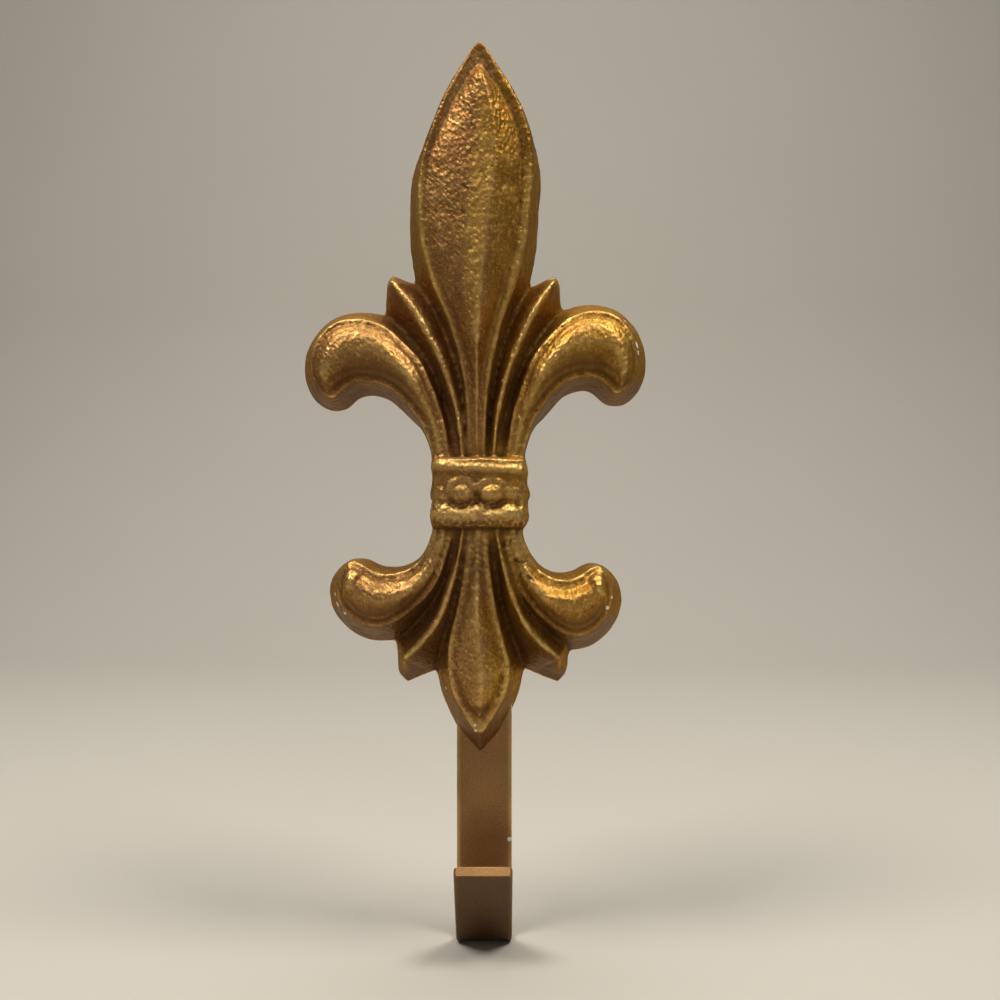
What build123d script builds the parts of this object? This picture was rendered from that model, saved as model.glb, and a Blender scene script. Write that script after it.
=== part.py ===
from build123d import *
import os
from math import cos, radians, sin, sqrt

# A wall hook: a cast fleur-de-lis on a flat steel bar that is bent up into the hook below it.
# Millimetres. X runs to the right, Z up, and the front faces -Y. The wall is the plane Y = 0,
# and the origin lies on it, behind the middle of the collar. A depth is a distance out from the wall.

# Flat bar and hook
strap_width = 18.5
strap_thickness = 3.2
strap_shift = 1.4  # the bar sits a little to the right of the collar's middle
strap_top = 102.0  # its upper end, above the origin
strap_top_corner = 4.0
hook_drop = 149.3  # underside of the bend, below the origin
bend_radius = 2.0  # inside the bend
lip_lean = 35.0  # degrees out from upright
lip_length = 34.0  # straight part of the lip
lip_corner = 1.5

# Keyhole in the bar, and the pocket behind it for the head of a wall screw
keyhole_height = 82.0
keyhole_radius = 5.0
keyhole_slot_radius = 2.5
keyhole_slot_rise = 10.0
pocket_margin = 1.5
pocket_depth = 6.0

# Two countersunk screws that hold the bar in the casting
upper_screw_height = 38.0
lower_screw_drop = 48.0
screw_head_radius = 3.6
screw_head_height = 2.0
screw_head_sink = 0.2
screw_shank_radius = 1.7
screw_length = 14.0
screw_point_length = 3.0
screw_point_radius = 0.3
screw_slot_width = 0.9
screw_slot_depth = 0.9
fit_clearance = 0.1

# Rims and crowns that the petals share
rim_width = 2.2
rim_shoulder = 1.6  # top edge of the wall, below the crest of the rim and below the groove
rim_ledge = 0.4  # the wall's top edge stands this far outside the rim
rim_groove = 1.3  # the groove inside the rim, below its crest
rim_share = 0.24  # the most of a narrow petal's width that one rim takes
rim_crest = 0.45  # share of the rim's width, from outside, where it is highest
crown_full_width = 14.0  # a petal this wide has its full crown
crown_steps = (0.0, 0.45, 1.0)  # shares of the way from the groove to the crest
face_root = 6.0  # how deep a carved face is sunk in the body under it
scroll_roundness = 0.9  # 1 is a round roll, 0 a roof
leaf_roundness = 0.4

# What is made behind the wall plane and cut off at the end, unlike for pieces that cross each other
stem_root = 1.6
scroll_root = 2.0
left_point_root = 2.4
right_point_root = 2.8
leaf_root = 3.2

# Top leaf and bottom leaf. A run is how far a wall spreads between the rim and the wall plane.
top_leaf_half_width = 18.1
top_leaf_height = 145.0
top_leaf_rim_depth = 18.0
top_leaf_crown = 6.0
top_leaf_left_run = 5.5
top_leaf_right_run = 4.2
bottom_leaf_run = 5.5
bottom_leaf_half_width = 9.8
bottom_leaf_drop = 77.0
bottom_leaf_rim_depth = 17.0
bottom_leaf_crown = 4.5

# Scrolls, a little uneven as the hand-made model was
upper_scroll_reach_left = 54.3
upper_scroll_reach_right = 50.9
upper_scroll_height_left = 56.0
upper_scroll_height_right = 58.6
upper_scroll_rim_depth = 18.0
upper_scroll_crown = 5.0
upper_scroll_inner_run = 3.0
upper_scroll_outer_run = 5.5
lower_scroll_reach_left = 45.5
lower_scroll_reach_right = 42.4
lower_scroll_drop_left = 43.0
lower_scroll_drop_right = 46.0
lower_scroll_rim_depth = 17.0
lower_scroll_crown = 4.5
lower_scroll_inner_run = 1.2
lower_scroll_outer_run = 6.0

# Small points between the leaves and the scrolls
upper_point_reach_left = 29.8
upper_point_reach_right = 25.4
upper_point_height = 74.2
upper_point_depth = 19.5
lower_point_reach_left = 24.8
lower_point_reach_right = 26.4
lower_point_drop = 64.2
lower_point_depth = 18.5
ridge_blunt = 0.12  # share of a facet's width that is taken off at the ridge

# Filling between the stems, above and below the collar
stem_half_width = 11.0
stem_reach = 26.0
stem_depth = 10.0

# Collar with two beads and a row of eggs
collar_foot_half_width = 14.0
collar_front_half_width = 13.4
collar_depth = 21.5
collar_top = 11.2
collar_bottom = -11.0
collar_corner = 4.0
upper_bead_height = 6.4
upper_bead_tilt = 3.0  # degrees, falling to the right
lower_bead_height = 6.8
bead_swell = 2.6
bead_steps = ((0.0, 0.0), (0.1, 0.6), (0.3, 0.95), (0.7, 0.95), (0.9, 0.6), (1.0, 0.0))  # of height and swell
egg_steps = ((-0.4, 1.0), (0.2, 1.0), (0.6, 0.8), (0.9, 0.44), (1.0, 0.1))  # of height and radius
egg_sides = 12
egg_radius = 4.0
egg_spacing = 9.8
egg_shift = -0.7
egg_height = 0.3

# Outlines of the petals, drawn on the right-hand side as seen from the front. Each row is a cut across the
# petal, from the collar to its tip: a point on its inner rim, one on its outer rim, and the share of the
# wall's run that its sides spread there. The sizes above stretch them.
top_leaf_rows = [
    ((-3.0, 5.0), (1.8, 5.0), 0.3),
    ((-3.4, 16.0), (1.7, 16.0), 0.4),
    ((-4.2, 30.0), (2.4, 30.0), 0.7),
    ((-6.0, 42.5), (4.1, 42.5), 1.0),
    ((-9.6, 55.0), (7.2, 55.0), 1.0),
    ((-14.6, 67.0), (11.2, 67.0), 1.0),
    ((-18.3, 80.0), (14.8, 80.0), 0.9),
    ((-19.5, 94.0), (16.4, 94.0), 0.8),
    ((-18.5, 107.0), (17.1, 107.0), 0.8),
    ((-15.4, 118.0), (15.8, 118.0), 0.6),
    ((-11.2, 128.5), (11.8, 128.5), 0.35),
    ((-6.0, 137.5), (6.1, 137.5), 0.2),
    ((-1.0, 145.0), (0.8, 145.0), 0.2),
]
bottom_leaf_rows = [
    ((-2.8, -5.0), (2.2, -5.0), 0.3),
    ((-3.6, -15.0), (2.5, -15.0), 0.4),
    ((-4.9, -26.0), (3.4, -26.0), 0.6),
    ((-7.0, -37.0), (5.0, -37.0), 0.8),
    ((-9.3, -47.0), (7.4, -47.0), 0.9),
    ((-9.9, -56.0), (9.6, -56.0), 0.9),
    ((-8.6, -64.0), (8.6, -64.0), 0.95),
    ((-5.3, -71.0), (5.3, -71.0), 1.05),
    ((-0.9, -77.0), (0.9, -77.0), 1.15),
]
upper_scroll_rows = [
    ((13.0, 5.0), (8.8, 5.0), 0.2),
    ((15.2, 15.0), (9.7, 15.0), 0.3),
    ((17.5, 21.8), (11.7, 25.5), 0.5),
    ((20.4, 26.3), (14.7, 34.5), 0.8),
    ((24.4, 31.4), (18.3, 42.8), 1.0),
    ((27.8, 34.3), (24.0, 49.5), 1.0),
    ((31.5, 35.9), (29.8, 54.5), 1.0),
    ((35.5, 36.5), (37.8, 56.8), 1.0),
    ((38.7, 36.2), (45.8, 55.0), 1.0),
    ((41.1, 35.0), (51.2, 48.3), 1.0),
    ((43.2, 33.2), (52.3, 40.0), 1.0),
    ((44.6, 32.0), (49.6, 34.0), 1.15),
    ((45.4, 31.3), (46.6, 31.6), 1.2),
]
lower_scroll_rows = [
    ((12.5, -5.0), (8.0, -5.0), 0.2),
    ((14.4, -13.0), (9.0, -15.0), 0.3),
    ((16.2, -18.2), (10.6, -21.8), 0.5),
    ((18.7, -22.5), (13.0, -29.0), 0.8),
    ((21.7, -25.2), (16.5, -34.2), 1.0),
    ((25.0, -26.7), (21.2, -39.0), 1.1),
    ((28.2, -27.2), (27.0, -43.0), 1.2),
    ((31.0, -27.0), (33.5, -44.3), 1.2),
    ((33.3, -26.2), (39.5, -41.8), 1.1),
    ((35.3, -25.0), (43.4, -37.0), 1.0),
    ((36.9, -24.0), (44.0, -31.0), 0.9),
    ((38.1, -23.4), (42.0, -26.2), 0.6),
    ((39.0, -22.8), (40.0, -23.3), 0.3),
]

# The small points, drawn the same way. Each row is a cut across the point: a place on its ridge, the feet of
# its inner and its outer facet on the wall, and the share of its depth there; the last cut is a straight one.
# The tip and the corner beside it lie on the wall.
upper_point_tip, upper_point_corner = (26.6, 73.8), (28.2, 71.4)
lower_point_tip, lower_point_corner = (24.8, -64.2), (27.7, -61.0)
upper_point_rows = [
    ((4.6, 5.0), (2.0, 5.0), (7.2, 5.0), 0.97),
    ((5.0, 14.0), (1.5, 14.5), (8.8, 13.5), 1.0),
    ((6.0, 24.0), (1.5, 25.5), (10.8, 22.5), 1.0),
    ((8.0, 33.0), (2.5, 35.5), (13.5, 30.5), 1.0),
    ((10.8, 42.0), (4.5, 45.5), (17.5, 38.5), 1.0),
    ((14.5, 50.0), (7.5, 54.5), (21.5, 46.0), 1.0),
    ((18.0, 57.0), (11.0, 62.0), (25.0, 53.5), 0.99),
    ((22.0, 63.2), (15.5, 67.5), (28.5, 60.5), 0.95),
    ((25.6, 68.3), (19.6, 70.3), (28.6, 67.3), 0.85),
]
lower_point_rows = [
    ((4.8, -5.0), (2.0, -5.0), (7.5, -5.0), 0.97),
    ((5.4, -12.6), (2.0, -13.0), (9.3, -12.0), 1.0),
    ((7.0, -21.6), (2.5, -23.0), (11.5, -19.5), 1.0),
    ((9.5, -31.3), (3.5, -34.0), (15.5, -28.5), 1.0),
    ((12.3, -38.8), (5.5, -43.0), (18.5, -35.5), 1.0),
    ((15.2, -43.8), (8.0, -49.5), (21.5, -40.0), 1.0),
    ((18.5, -47.8), (10.5, -54.5), (24.5, -44.5), 0.98),
    ((22.0, -51.2), (13.0, -58.5), (27.0, -49.0), 0.95),
    ((24.5, -53.6), (16.5, -60.6), (28.5, -50.1), 0.88),
]


def on_wall(point, stretch):
    """A point of an outline, stretched by (across, up) and laid on the wall plane."""
    return Vector(point[0] * stretch[0], 0, point[1] * stretch[1])


def raised(foot, depth):
    """The point a depth out from a point on the wall plane."""
    return foot + Vector(0, -depth, 0)


def edge_normal(before, after, away):
    """The normal of an outline that runs from before to after, on the side that away points to."""
    along = after - before
    normal = Vector(along.Z, 0, -along.X).normalized()
    return normal if normal.dot(away) > 0 else normal * -1


def refined(points):
    """An outline with a point added halfway along each stretch, on a smooth curve through its neighbours."""
    line = [points[0] * 2 - points[1]] + points + [points[-1] * 2 - points[-2]]
    result = [points[0]]
    for before, start, end, after in zip(line, line[1:], line[2:], line[3:]):
        result += [(start + end) * (9 / 16) - (before + after) * (1 / 16), end]
    return result


def crown_height(share, roundness):
    """Height of the field, from 0 in the groove to 1 at its crest, a share of the way up its side."""
    return (1 - roundness) * share + roundness * sqrt(1 - (1 - share) ** 2)


def petal_section(inner, outer, rim_depth, crown, roundness):
    """One cut across a petal's face: two rims and the crowned field between them."""
    width = (outer - inner).length
    rim = min(rim_width, rim_share * width)
    groove = rim_depth - rim_groove * rim / rim_width
    rise = (crown + rim_groove) * min(1.0, width / crown_full_width)
    half = [(0, rim_depth - rim_shoulder - face_root), (0, rim_depth - rim_shoulder)]
    half.append((rim * rim_crest, rim_depth))
    for share in crown_steps:
        half.append((rim + (width / 2 - rim) * share, groove + rise * crown_height(share, roundness)))
    across = (outer - inner).normalized()
    points = [raised(inner + across * place, depth) for place, depth in half]
    points += [raised(outer - across * place, depth) for place, depth in half[-2::-1]]
    return Wire.make_polygon(points, close=True)


def outline_wire(points, depth):
    """A closed outline at a depth, straight where it ends inside the collar."""
    return Wire.make_polygon([raised(point, depth) for point in points], close=True)


def petal(rows, stretch, rim_depth, crown, roundness, inner_run, outer_run, root, finer):
    """A rimmed petal: a body with sloping walls, and the carved face that stands on it."""
    inners = [on_wall(row[0], stretch) for row in rows]
    outers = [on_wall(row[1], stretch) for row in rows]
    shoulder = rim_depth - rim_shoulder
    deeper = (shoulder + root) / shoulder
    last = len(rows) - 1
    inner_top, outer_top, inner_foot, outer_foot = [], [], [], []
    for place, row in enumerate(rows):
        before, after = max(place - 1, 0), min(place + 1, last)
        away = inners[place] - outers[place]
        inner_normal = edge_normal(inners[before], inners[after], away)
        outer_normal = edge_normal(outers[before], outers[after], away * -1)
        inner_top.append(inners[place] + inner_normal * rim_ledge)
        outer_top.append(outers[place] + outer_normal * rim_ledge)
        inner_foot.append(inners[place] + inner_normal * (inner_run * deeper * row[2]))
        outer_foot.append(outers[place] + outer_normal * (outer_run * deeper * row[2]))
    tip_normal = (inner_normal + outer_normal).normalized()
    mitre = 1 / tip_normal.dot(inner_normal)
    middle = (inners[last] + outers[last]) * 0.5
    tip_top = middle + tip_normal * (2 * rim_ledge)
    tip_foot = middle + tip_normal * ((inner_run + outer_run) / 2 * deeper * mitre * rows[last][2])
    body = Solid.make_loft([
        outline_wire(finer(inner_foot + [tip_foot] + outer_foot[::-1]), -root),
        outline_wire(finer(inner_top + [tip_top] + outer_top[::-1]), shoulder),
    ], ruled=True)
    face = Solid.make_loft([
        petal_section(inner, outer, rim_depth, crown, roundness)
        for inner, outer in zip(finer(inners), finer(outers))
    ], ruled=True)
    return [body, face]


def point_section(ridge, inner, outer, depth, root):
    """One cut across a small point: two facets that meet at a blunted ridge."""
    deeper = (depth + root) / depth
    shoulder = depth * (1 - ridge_blunt)
    return Wire.make_polygon([
        raised(ridge + (inner - ridge) * deeper, -root),
        raised(ridge + (inner - ridge) * ridge_blunt, shoulder),
        raised(ridge, depth * (1 - ridge_blunt / 2)),
        raised(ridge + (outer - ridge) * ridge_blunt, shoulder),
        raised(ridge + (outer - ridge) * deeper, -root),
    ], close=True)


def point_end(feet, ridge, depth, root):
    """The end of a small point: flat facets that go from its feet up to the end of its ridge."""
    deeper = (depth + root) / depth
    blunt = ridge_blunt / 2
    base = [raised(ridge + (foot - ridge) * deeper, -root) for foot in feet]
    top = [raised(ridge + (foot - ridge) * blunt, depth * (1 - blunt)) for foot in feet]
    sides = [[base[i - 1], base[i], top[i], top[i - 1]] for i in range(len(feet))]
    facets = [Face(Wire.make_polygon(corners, close=True)) for corners in [base, top] + sides]
    return Solid(Shell(facets))


def small_point(rows, tip, corner, stretch, depth, root):
    """A roof-like point: lofted along its ridge, and closed with a faceted end."""
    cuts = [[on_wall(place, stretch) for place in row[:3]] for row in rows]
    depths = [depth * row[3] for row in rows]
    roof = Solid.make_loft([point_section(*cut, at, root) for cut, at in zip(cuts, depths)], ruled=True)
    ridge, inner, outer = cuts[-1]
    feet = [cuts[-2][0], inner, on_wall(tip, stretch), on_wall(corner, stretch), outer]
    return [roof, point_end(feet, ridge, depths[-1], root)]


def stretch_to(points, reach, height):
    """The stretch that takes a drawn outline's greatest reach and height to the given ones."""
    return reach / max(abs(x) for x, z in points), height / max(abs(z) for x, z in points)


def scrolls():
    """The two upper and the two lower scrolls."""
    upper = [row[1] for row in upper_scroll_rows]
    lower = [row[1] for row in lower_scroll_rows]
    solids = []
    for side, reach, height in (
        (-1, upper_scroll_reach_left, upper_scroll_height_left),
        (1, upper_scroll_reach_right, upper_scroll_height_right),
    ):
        stretch = stretch_to(upper, side * reach, height)
        solids += petal(upper_scroll_rows, stretch, upper_scroll_rim_depth, upper_scroll_crown, scroll_roundness,
                        upper_scroll_inner_run, upper_scroll_outer_run, scroll_root, refined)
    for side, reach, drop in (
        (-1, lower_scroll_reach_left, lower_scroll_drop_left),
        (1, lower_scroll_reach_right, lower_scroll_drop_right),
    ):
        stretch = stretch_to(lower, side * reach, drop)
        solids += petal(lower_scroll_rows, stretch, lower_scroll_rim_depth, lower_scroll_crown, scroll_roundness,
                        lower_scroll_inner_run, lower_scroll_outer_run, scroll_root, refined)
    return solids


def points():
    """The four small points."""
    solids = []
    for side, upper_reach, lower_reach, root in (
        (-1, upper_point_reach_left, lower_point_reach_left, left_point_root),
        (1, upper_point_reach_right, lower_point_reach_right, right_point_root),
    ):
        upper = stretch_to([upper_point_tip], side * upper_reach, upper_point_height)
        lower = stretch_to([lower_point_tip], side * lower_reach, lower_point_drop)
        solids += small_point(upper_point_rows, upper_point_tip, upper_point_corner, upper,
                              upper_point_depth, root)
        solids += small_point(lower_point_rows, lower_point_tip, lower_point_corner, lower,
                              lower_point_depth, root)
    return solids


def leaves():
    """The top leaf and the bottom leaf."""
    top = [((row[1][0] - row[0][0]) / 2, row[1][1]) for row in top_leaf_rows]
    bottom = [((row[1][0] - row[0][0]) / 2, row[1][1]) for row in bottom_leaf_rows]
    return (
        petal(top_leaf_rows, stretch_to(top, top_leaf_half_width, top_leaf_height), top_leaf_rim_depth,
              top_leaf_crown, leaf_roundness, top_leaf_left_run, top_leaf_right_run, leaf_root, list)
        + petal(bottom_leaf_rows, stretch_to(bottom, bottom_leaf_half_width, bottom_leaf_drop),
                bottom_leaf_rim_depth, bottom_leaf_crown, leaf_roundness, bottom_leaf_run, bottom_leaf_run,
                leaf_root, list)
    )


def stem_filling():
    """The plain block that fills the bottoms of the crevices between the stems."""
    depth = stem_depth + stem_root
    return Pos(0, stem_root - depth / 2, 0) * Box(2 * stem_half_width, depth, 2 * stem_reach)


def collar_outline(height, swell):
    """The collar's outline at a height: sloping sides and blunt front corners, grown outwards by a swell."""
    foot = collar_foot_half_width + swell
    front = collar_front_half_width + swell
    depth = collar_depth + swell
    cut = collar_corner / 4
    half = [
        (foot, 0),
        (front + cut, collar_corner - depth),
        (front - cut, cut - depth),
        (front - collar_corner, -depth),
    ]
    points = [Vector(x, y, height) for x, y in half] + [Vector(-x, y, height) for x, y in half[::-1]]
    return Wire.make_polygon(points, close=True)


def collar_bead(top, bottom):
    """A rounded bead that goes round the front and the sides of the collar."""
    outlines = [
        collar_outline(bottom + (top - bottom) * share, bead_swell * swell) for share, swell in bead_steps
    ]
    return Solid.make_loft(outlines, ruled=True)


def collar_egg():
    """Half an egg that stands out along +Z."""
    rings = [
        Pos(0, 0, egg_radius * height) * RegularPolygon(egg_radius * radius, egg_sides)
        for height, radius in egg_steps
    ]
    return Solid.make_loft([ring.wire() for ring in rings], ruled=True)


def collar():
    """The band around the stems: a core, two beads and a row of eggs between them."""
    core = Solid.make_loft([collar_outline(height, 0) for height in (collar_bottom, collar_top)], ruled=True)
    upper = Rot(0, upper_bead_tilt, 0) * collar_bead(collar_top, collar_top - upper_bead_height)
    lower = collar_bead(collar_bottom + lower_bead_height, collar_bottom)
    eggs = []
    for side in (-1, 1):
        at_front = Pos(egg_shift + side * egg_spacing / 2, -collar_depth, egg_height) * Rot(90, 0, 0)
        at_corner = Pos(side * collar_front_half_width, collar_corner / 2 - collar_depth, egg_height)
        eggs += [at_front * collar_egg(), at_corner * Rot(90, side * 45, 0) * collar_egg()]
    return core + upper + lower + eggs


def keyhole(margin, depth):
    """The keyhole's shape with a margin all round, cut from the wall plane to a depth."""
    entry = Pos(0, keyhole_height) * Circle(keyhole_radius + margin)
    slot_top = Pos(0, keyhole_height + keyhole_slot_rise) * Circle(keyhole_slot_radius + margin)
    slot = Pos(0, keyhole_height + keyhole_slot_rise / 2) * Rectangle(
        2 * (keyhole_slot_radius + margin), keyhole_slot_rise
    )
    return Pos(strap_shift, 0, 0) * extrude(Plane.XZ * (entry + slot_top + slot), depth)


def screw_places():
    """Where the two screws enter, on the wall plane, with their length running out from it."""
    heights = (upper_screw_height, -lower_screw_drop)
    return [Pos(strap_shift, 0, height) * Rot(90, 0, 0) for height in heights]


def screw_shape(start, margin):
    """A screw along +Z, its head's cone cut off at a start, with a margin all round."""
    taper = (screw_head_radius - screw_shank_radius) / screw_head_height
    shank = screw_shank_radius + margin
    tip = screw_head_sink + screw_length + margin
    outline = Polyline(
        (0, start),
        (screw_head_radius + margin + (screw_head_sink - start) * taper, start),
        (shank, screw_head_sink + screw_head_height),
        (shank, tip - screw_point_length),
        (screw_point_radius + margin, tip),
        (0, tip),
        close=True,
    )
    return revolve(Plane.XZ * make_face(outline), Axis.Z)


def countersunk_screw():
    """One slotted countersunk screw, its head a little below the wall plane."""
    slot = Pos(0, 0, screw_head_sink) * Box(2 * screw_head_radius, screw_slot_width, 2 * screw_slot_depth)
    return screw_shape(screw_head_sink, 0) - slot


def countersinks():
    """What the screws take out of the bar, open at the wall plane."""
    return [place * screw_shape(0, fit_clearance) for place in screw_places()]


def pilot_holes():
    """What the screws take out of the casting."""
    depth = screw_head_sink + screw_length + fit_clearance
    hole = Pos(0, 0, depth / 2) * Cylinder(screw_shank_radius + fit_clearance, depth)
    return [place * hole for place in screw_places()]


def strap_hook():
    """The flat bar, bent up at its lower end into a lip that leans out."""
    outside = bend_radius + strap_thickness
    bend_height = -hook_drop + outside
    lean = radians(lip_lean)
    up_lip = (-sin(lean), cos(lean))
    out_of_lip = (-cos(lean), -sin(lean))

    def around(radius):
        """The middle and the end of the bend at a radius, as (y, z)."""
        end = (-outside + radius * out_of_lip[0], bend_height + radius * out_of_lip[1])
        return (-outside, bend_height - radius), end

    def lip_end(bend_end):
        return (bend_end[0] + lip_length * up_lip[0], bend_end[1] + lip_length * up_lip[1])

    outer_middle, outer_end = around(outside)
    inner_middle, inner_end = around(bend_radius)
    side = Plane.YZ * make_face([
        Line((0, strap_top), (0, bend_height)),
        ThreePointArc((0, bend_height), outer_middle, outer_end),
        Line(outer_end, lip_end(outer_end)),
        Line(lip_end(outer_end), lip_end(inner_end)),
        Line(lip_end(inner_end), inner_end),
        ThreePointArc(inner_end, inner_middle, (-strap_thickness, bend_height)),
        Line((-strap_thickness, bend_height), (-strap_thickness, strap_top)),
        Line((-strap_thickness, strap_top), (0, strap_top)),
    ])
    bar = Pos(strap_shift, 0, 0) * extrude(side, strap_width / 2, both=True)
    top_end = bar.faces().sort_by(Axis.Z)[-1]
    bar = fillet(top_end.edges().filter_by(Axis.Y), strap_top_corner)
    lip_top = bar.faces().filter_by(Plane(origin=(0, 0, 0), z_dir=(0, *up_lip))).sort_by(Axis.Y)[0]
    bar = fillet(lip_top.edges().filter_by(Axis.X, reverse=True), lip_corner)
    return bar - keyhole(0, strap_thickness) - countersinks()


def strap_channel():
    """The groove in the casting's back that the bar lies in, open below the bottom leaf."""
    width = strap_width + 2 * fit_clearance
    length = strap_top + fit_clearance + hook_drop
    face = Pos(strap_shift, strap_top + fit_clearance - length / 2) * Rectangle(width, length)
    face = fillet(face.vertices().sort_by(Axis.Y)[-2:], strap_top_corner + fit_clearance)
    return extrude(Plane.XZ * face, strap_thickness + fit_clearance)


def fleur_casting():
    """The whole casting, with a flat back and what is cut in it for the bar, its screws and a wall screw."""
    body = collar() + stem_filling()
    for solid in scrolls() + points() + leaves():
        body += solid
    size = body.bounding_box().size
    behind = Pos(0, size.Y, 0) * Box(4 * size.X, 2 * size.Y, 4 * size.Z)
    pocket = keyhole(pocket_margin, strap_thickness + pocket_depth)
    return body - behind - strap_channel() - pocket - pilot_holes()


os.makedirs("parts", exist_ok=True)
nodes = {
    "fleur_casting": fleur_casting(),
    "strap_hook": strap_hook(),
    "strap_screws": Compound(children=[place * countersunk_screw() for place in screw_places()]),
}
for name, shape in nodes.items():
    export_step(shape, f"parts/{name}.step")
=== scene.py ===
from math import asin, cos, pi, radians, sin, tan

import bmesh
import bpy
import numpy as np
from bpy.props import FloatProperty, IntProperty, PointerProperty
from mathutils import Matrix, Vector, noise


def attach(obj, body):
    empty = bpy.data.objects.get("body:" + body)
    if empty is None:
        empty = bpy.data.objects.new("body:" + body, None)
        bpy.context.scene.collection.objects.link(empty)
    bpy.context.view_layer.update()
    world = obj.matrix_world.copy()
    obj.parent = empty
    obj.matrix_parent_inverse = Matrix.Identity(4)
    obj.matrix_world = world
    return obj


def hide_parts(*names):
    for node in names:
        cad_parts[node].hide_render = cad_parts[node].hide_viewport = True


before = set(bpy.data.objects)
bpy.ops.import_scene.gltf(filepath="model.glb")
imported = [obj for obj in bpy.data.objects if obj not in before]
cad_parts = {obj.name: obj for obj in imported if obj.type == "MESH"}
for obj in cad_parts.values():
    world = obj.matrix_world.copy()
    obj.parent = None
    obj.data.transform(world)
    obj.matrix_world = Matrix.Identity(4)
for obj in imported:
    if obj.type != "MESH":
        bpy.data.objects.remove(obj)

bl_info = {
    "name": "Fleur-de-lis wall hook",
    "version": (1, 0, 0),
    "blender": (4, 5, 0),
    "location": "3D View > Sidebar > Wall hook",
    "description": "A gold painted fleur-de-lis casting on a bent flat bar, with its screws and a studio",
    "category": "Add Mesh",
}

# In metres: a millimetre, how near vertices are welded, how far cutters reach past a face, and how far the
# casting's skins reach behind the wall plane before its back is cut flat.
MM = 0.001
WELD = 1e-6
OVERLAP = 0.001
ROOT = 0.0015

# Outlines of the petals in millimetres, on the right as seen from the front, from the collar to the tip:
# inner rim x and z, outer rim x and z, and the share of the wall's run that the sides spread there.
TOP_LEAF = (
    (-3.0, 5.0, 1.8, 5.0, 0.3), (-3.4, 16.0, 1.7, 16.0, 0.4), (-4.2, 30.0, 2.4, 30.0, 0.7),
    (-6.0, 42.5, 4.1, 42.5, 1.0), (-9.6, 55.0, 7.2, 55.0, 1.0), (-14.6, 67.0, 11.2, 67.0, 1.0),
    (-18.3, 80.0, 14.8, 80.0, 0.9), (-19.5, 94.0, 16.4, 94.0, 0.8), (-18.5, 107.0, 17.1, 107.0, 0.8),
    (-15.4, 118.0, 15.8, 118.0, 0.6), (-11.2, 128.5, 11.8, 128.5, 0.35), (-6.0, 137.5, 6.1, 137.5, 0.2),
    (-1.0, 145.0, 0.8, 145.0, 0.2),
)
BOTTOM_LEAF = (
    (-2.8, -5.0, 2.2, -5.0, 0.3), (-3.6, -15.0, 2.5, -15.0, 0.4), (-4.9, -26.0, 3.4, -26.0, 0.6),
    (-7.0, -37.0, 5.0, -37.0, 0.8), (-9.3, -47.0, 7.4, -47.0, 0.9), (-9.9, -56.0, 9.6, -56.0, 0.9),
    (-8.6, -64.0, 8.6, -64.0, 0.95), (-5.3, -71.0, 5.3, -71.0, 1.1), (-0.9, -77.0, 0.9, -77.0, 1.35),
)
UPPER_SCROLL = (
    (13.0, 5.0, 8.8, 5.0, 0.2), (15.2, 15.0, 9.7, 15.0, 0.3), (17.5, 21.8, 11.7, 25.5, 0.5),
    (20.4, 26.3, 14.7, 34.5, 0.8), (24.4, 31.4, 18.3, 42.8, 1.0), (27.8, 34.3, 24.0, 49.5, 1.0),
    (31.5, 35.9, 29.8, 54.5, 1.0), (35.5, 36.5, 37.8, 56.8, 1.0), (38.7, 36.2, 45.8, 55.0, 1.0),
    (41.1, 35.0, 51.2, 48.3, 1.0), (43.2, 33.2, 52.3, 40.0, 1.0), (44.6, 32.0, 49.6, 34.0, 1.15),
    (45.4, 31.3, 46.6, 31.6, 1.2),
)
LOWER_SCROLL = (
    (12.5, -5.0, 8.0, -5.0, 0.2), (14.4, -13.0, 9.0, -15.0, 0.3), (16.2, -18.2, 10.6, -21.8, 0.5),
    (18.7, -22.5, 13.0, -29.0, 0.8), (21.7, -25.2, 16.5, -34.2, 1.0), (25.0, -26.7, 21.2, -39.0, 1.1),
    (28.2, -27.2, 27.0, -43.0, 1.2), (31.0, -27.0, 33.5, -44.3, 1.2), (33.3, -26.2, 39.5, -41.8, 1.1),
    (35.3, -25.0, 43.4, -37.0, 1.0), (36.9, -24.0, 44.0, -31.0, 0.9), (38.1, -23.3, 42.5, -26.0, 0.6),
    (39.1, -22.6, 40.8, -23.2, 0.3),
)

# Where the leaves' keel and rims lie, spread evenly from root to tip: the top keel's share of the field's
# width, then the width of the left and the right rim in millimetres.
KEEL = (0.55, 0.58, 0.63, 0.65, 0.72, 0.64, 0.5)
LEAF_RIMS = (1.7, 1.7, 1.7, 1.7, 2.0, 4.2, 6.0), (1.7, 2.0, 2.6, 3.2, 3.2, 4.4, 6.0)
TAIL_RIMS = (1.7, 1.7, 1.7, 1.8, 2.6, 3.5), (1.7, 1.7, 1.7, 1.8, 2.6, 3.5)

# A painted highlight beside the top leaf's keel, in millimetres: left edge, right edge and height.
KEEL_HIGHLIGHT = (
    (-3.5, 0.3, 48.0), (-5.6, 0.6, 70.0), (-6.7, 2.3, 86.0), (-4.3, 4.3, 97.0), (-2.8, 5.4, 113.0),
    (-0.9, 0.3, 134.0),
)

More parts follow.
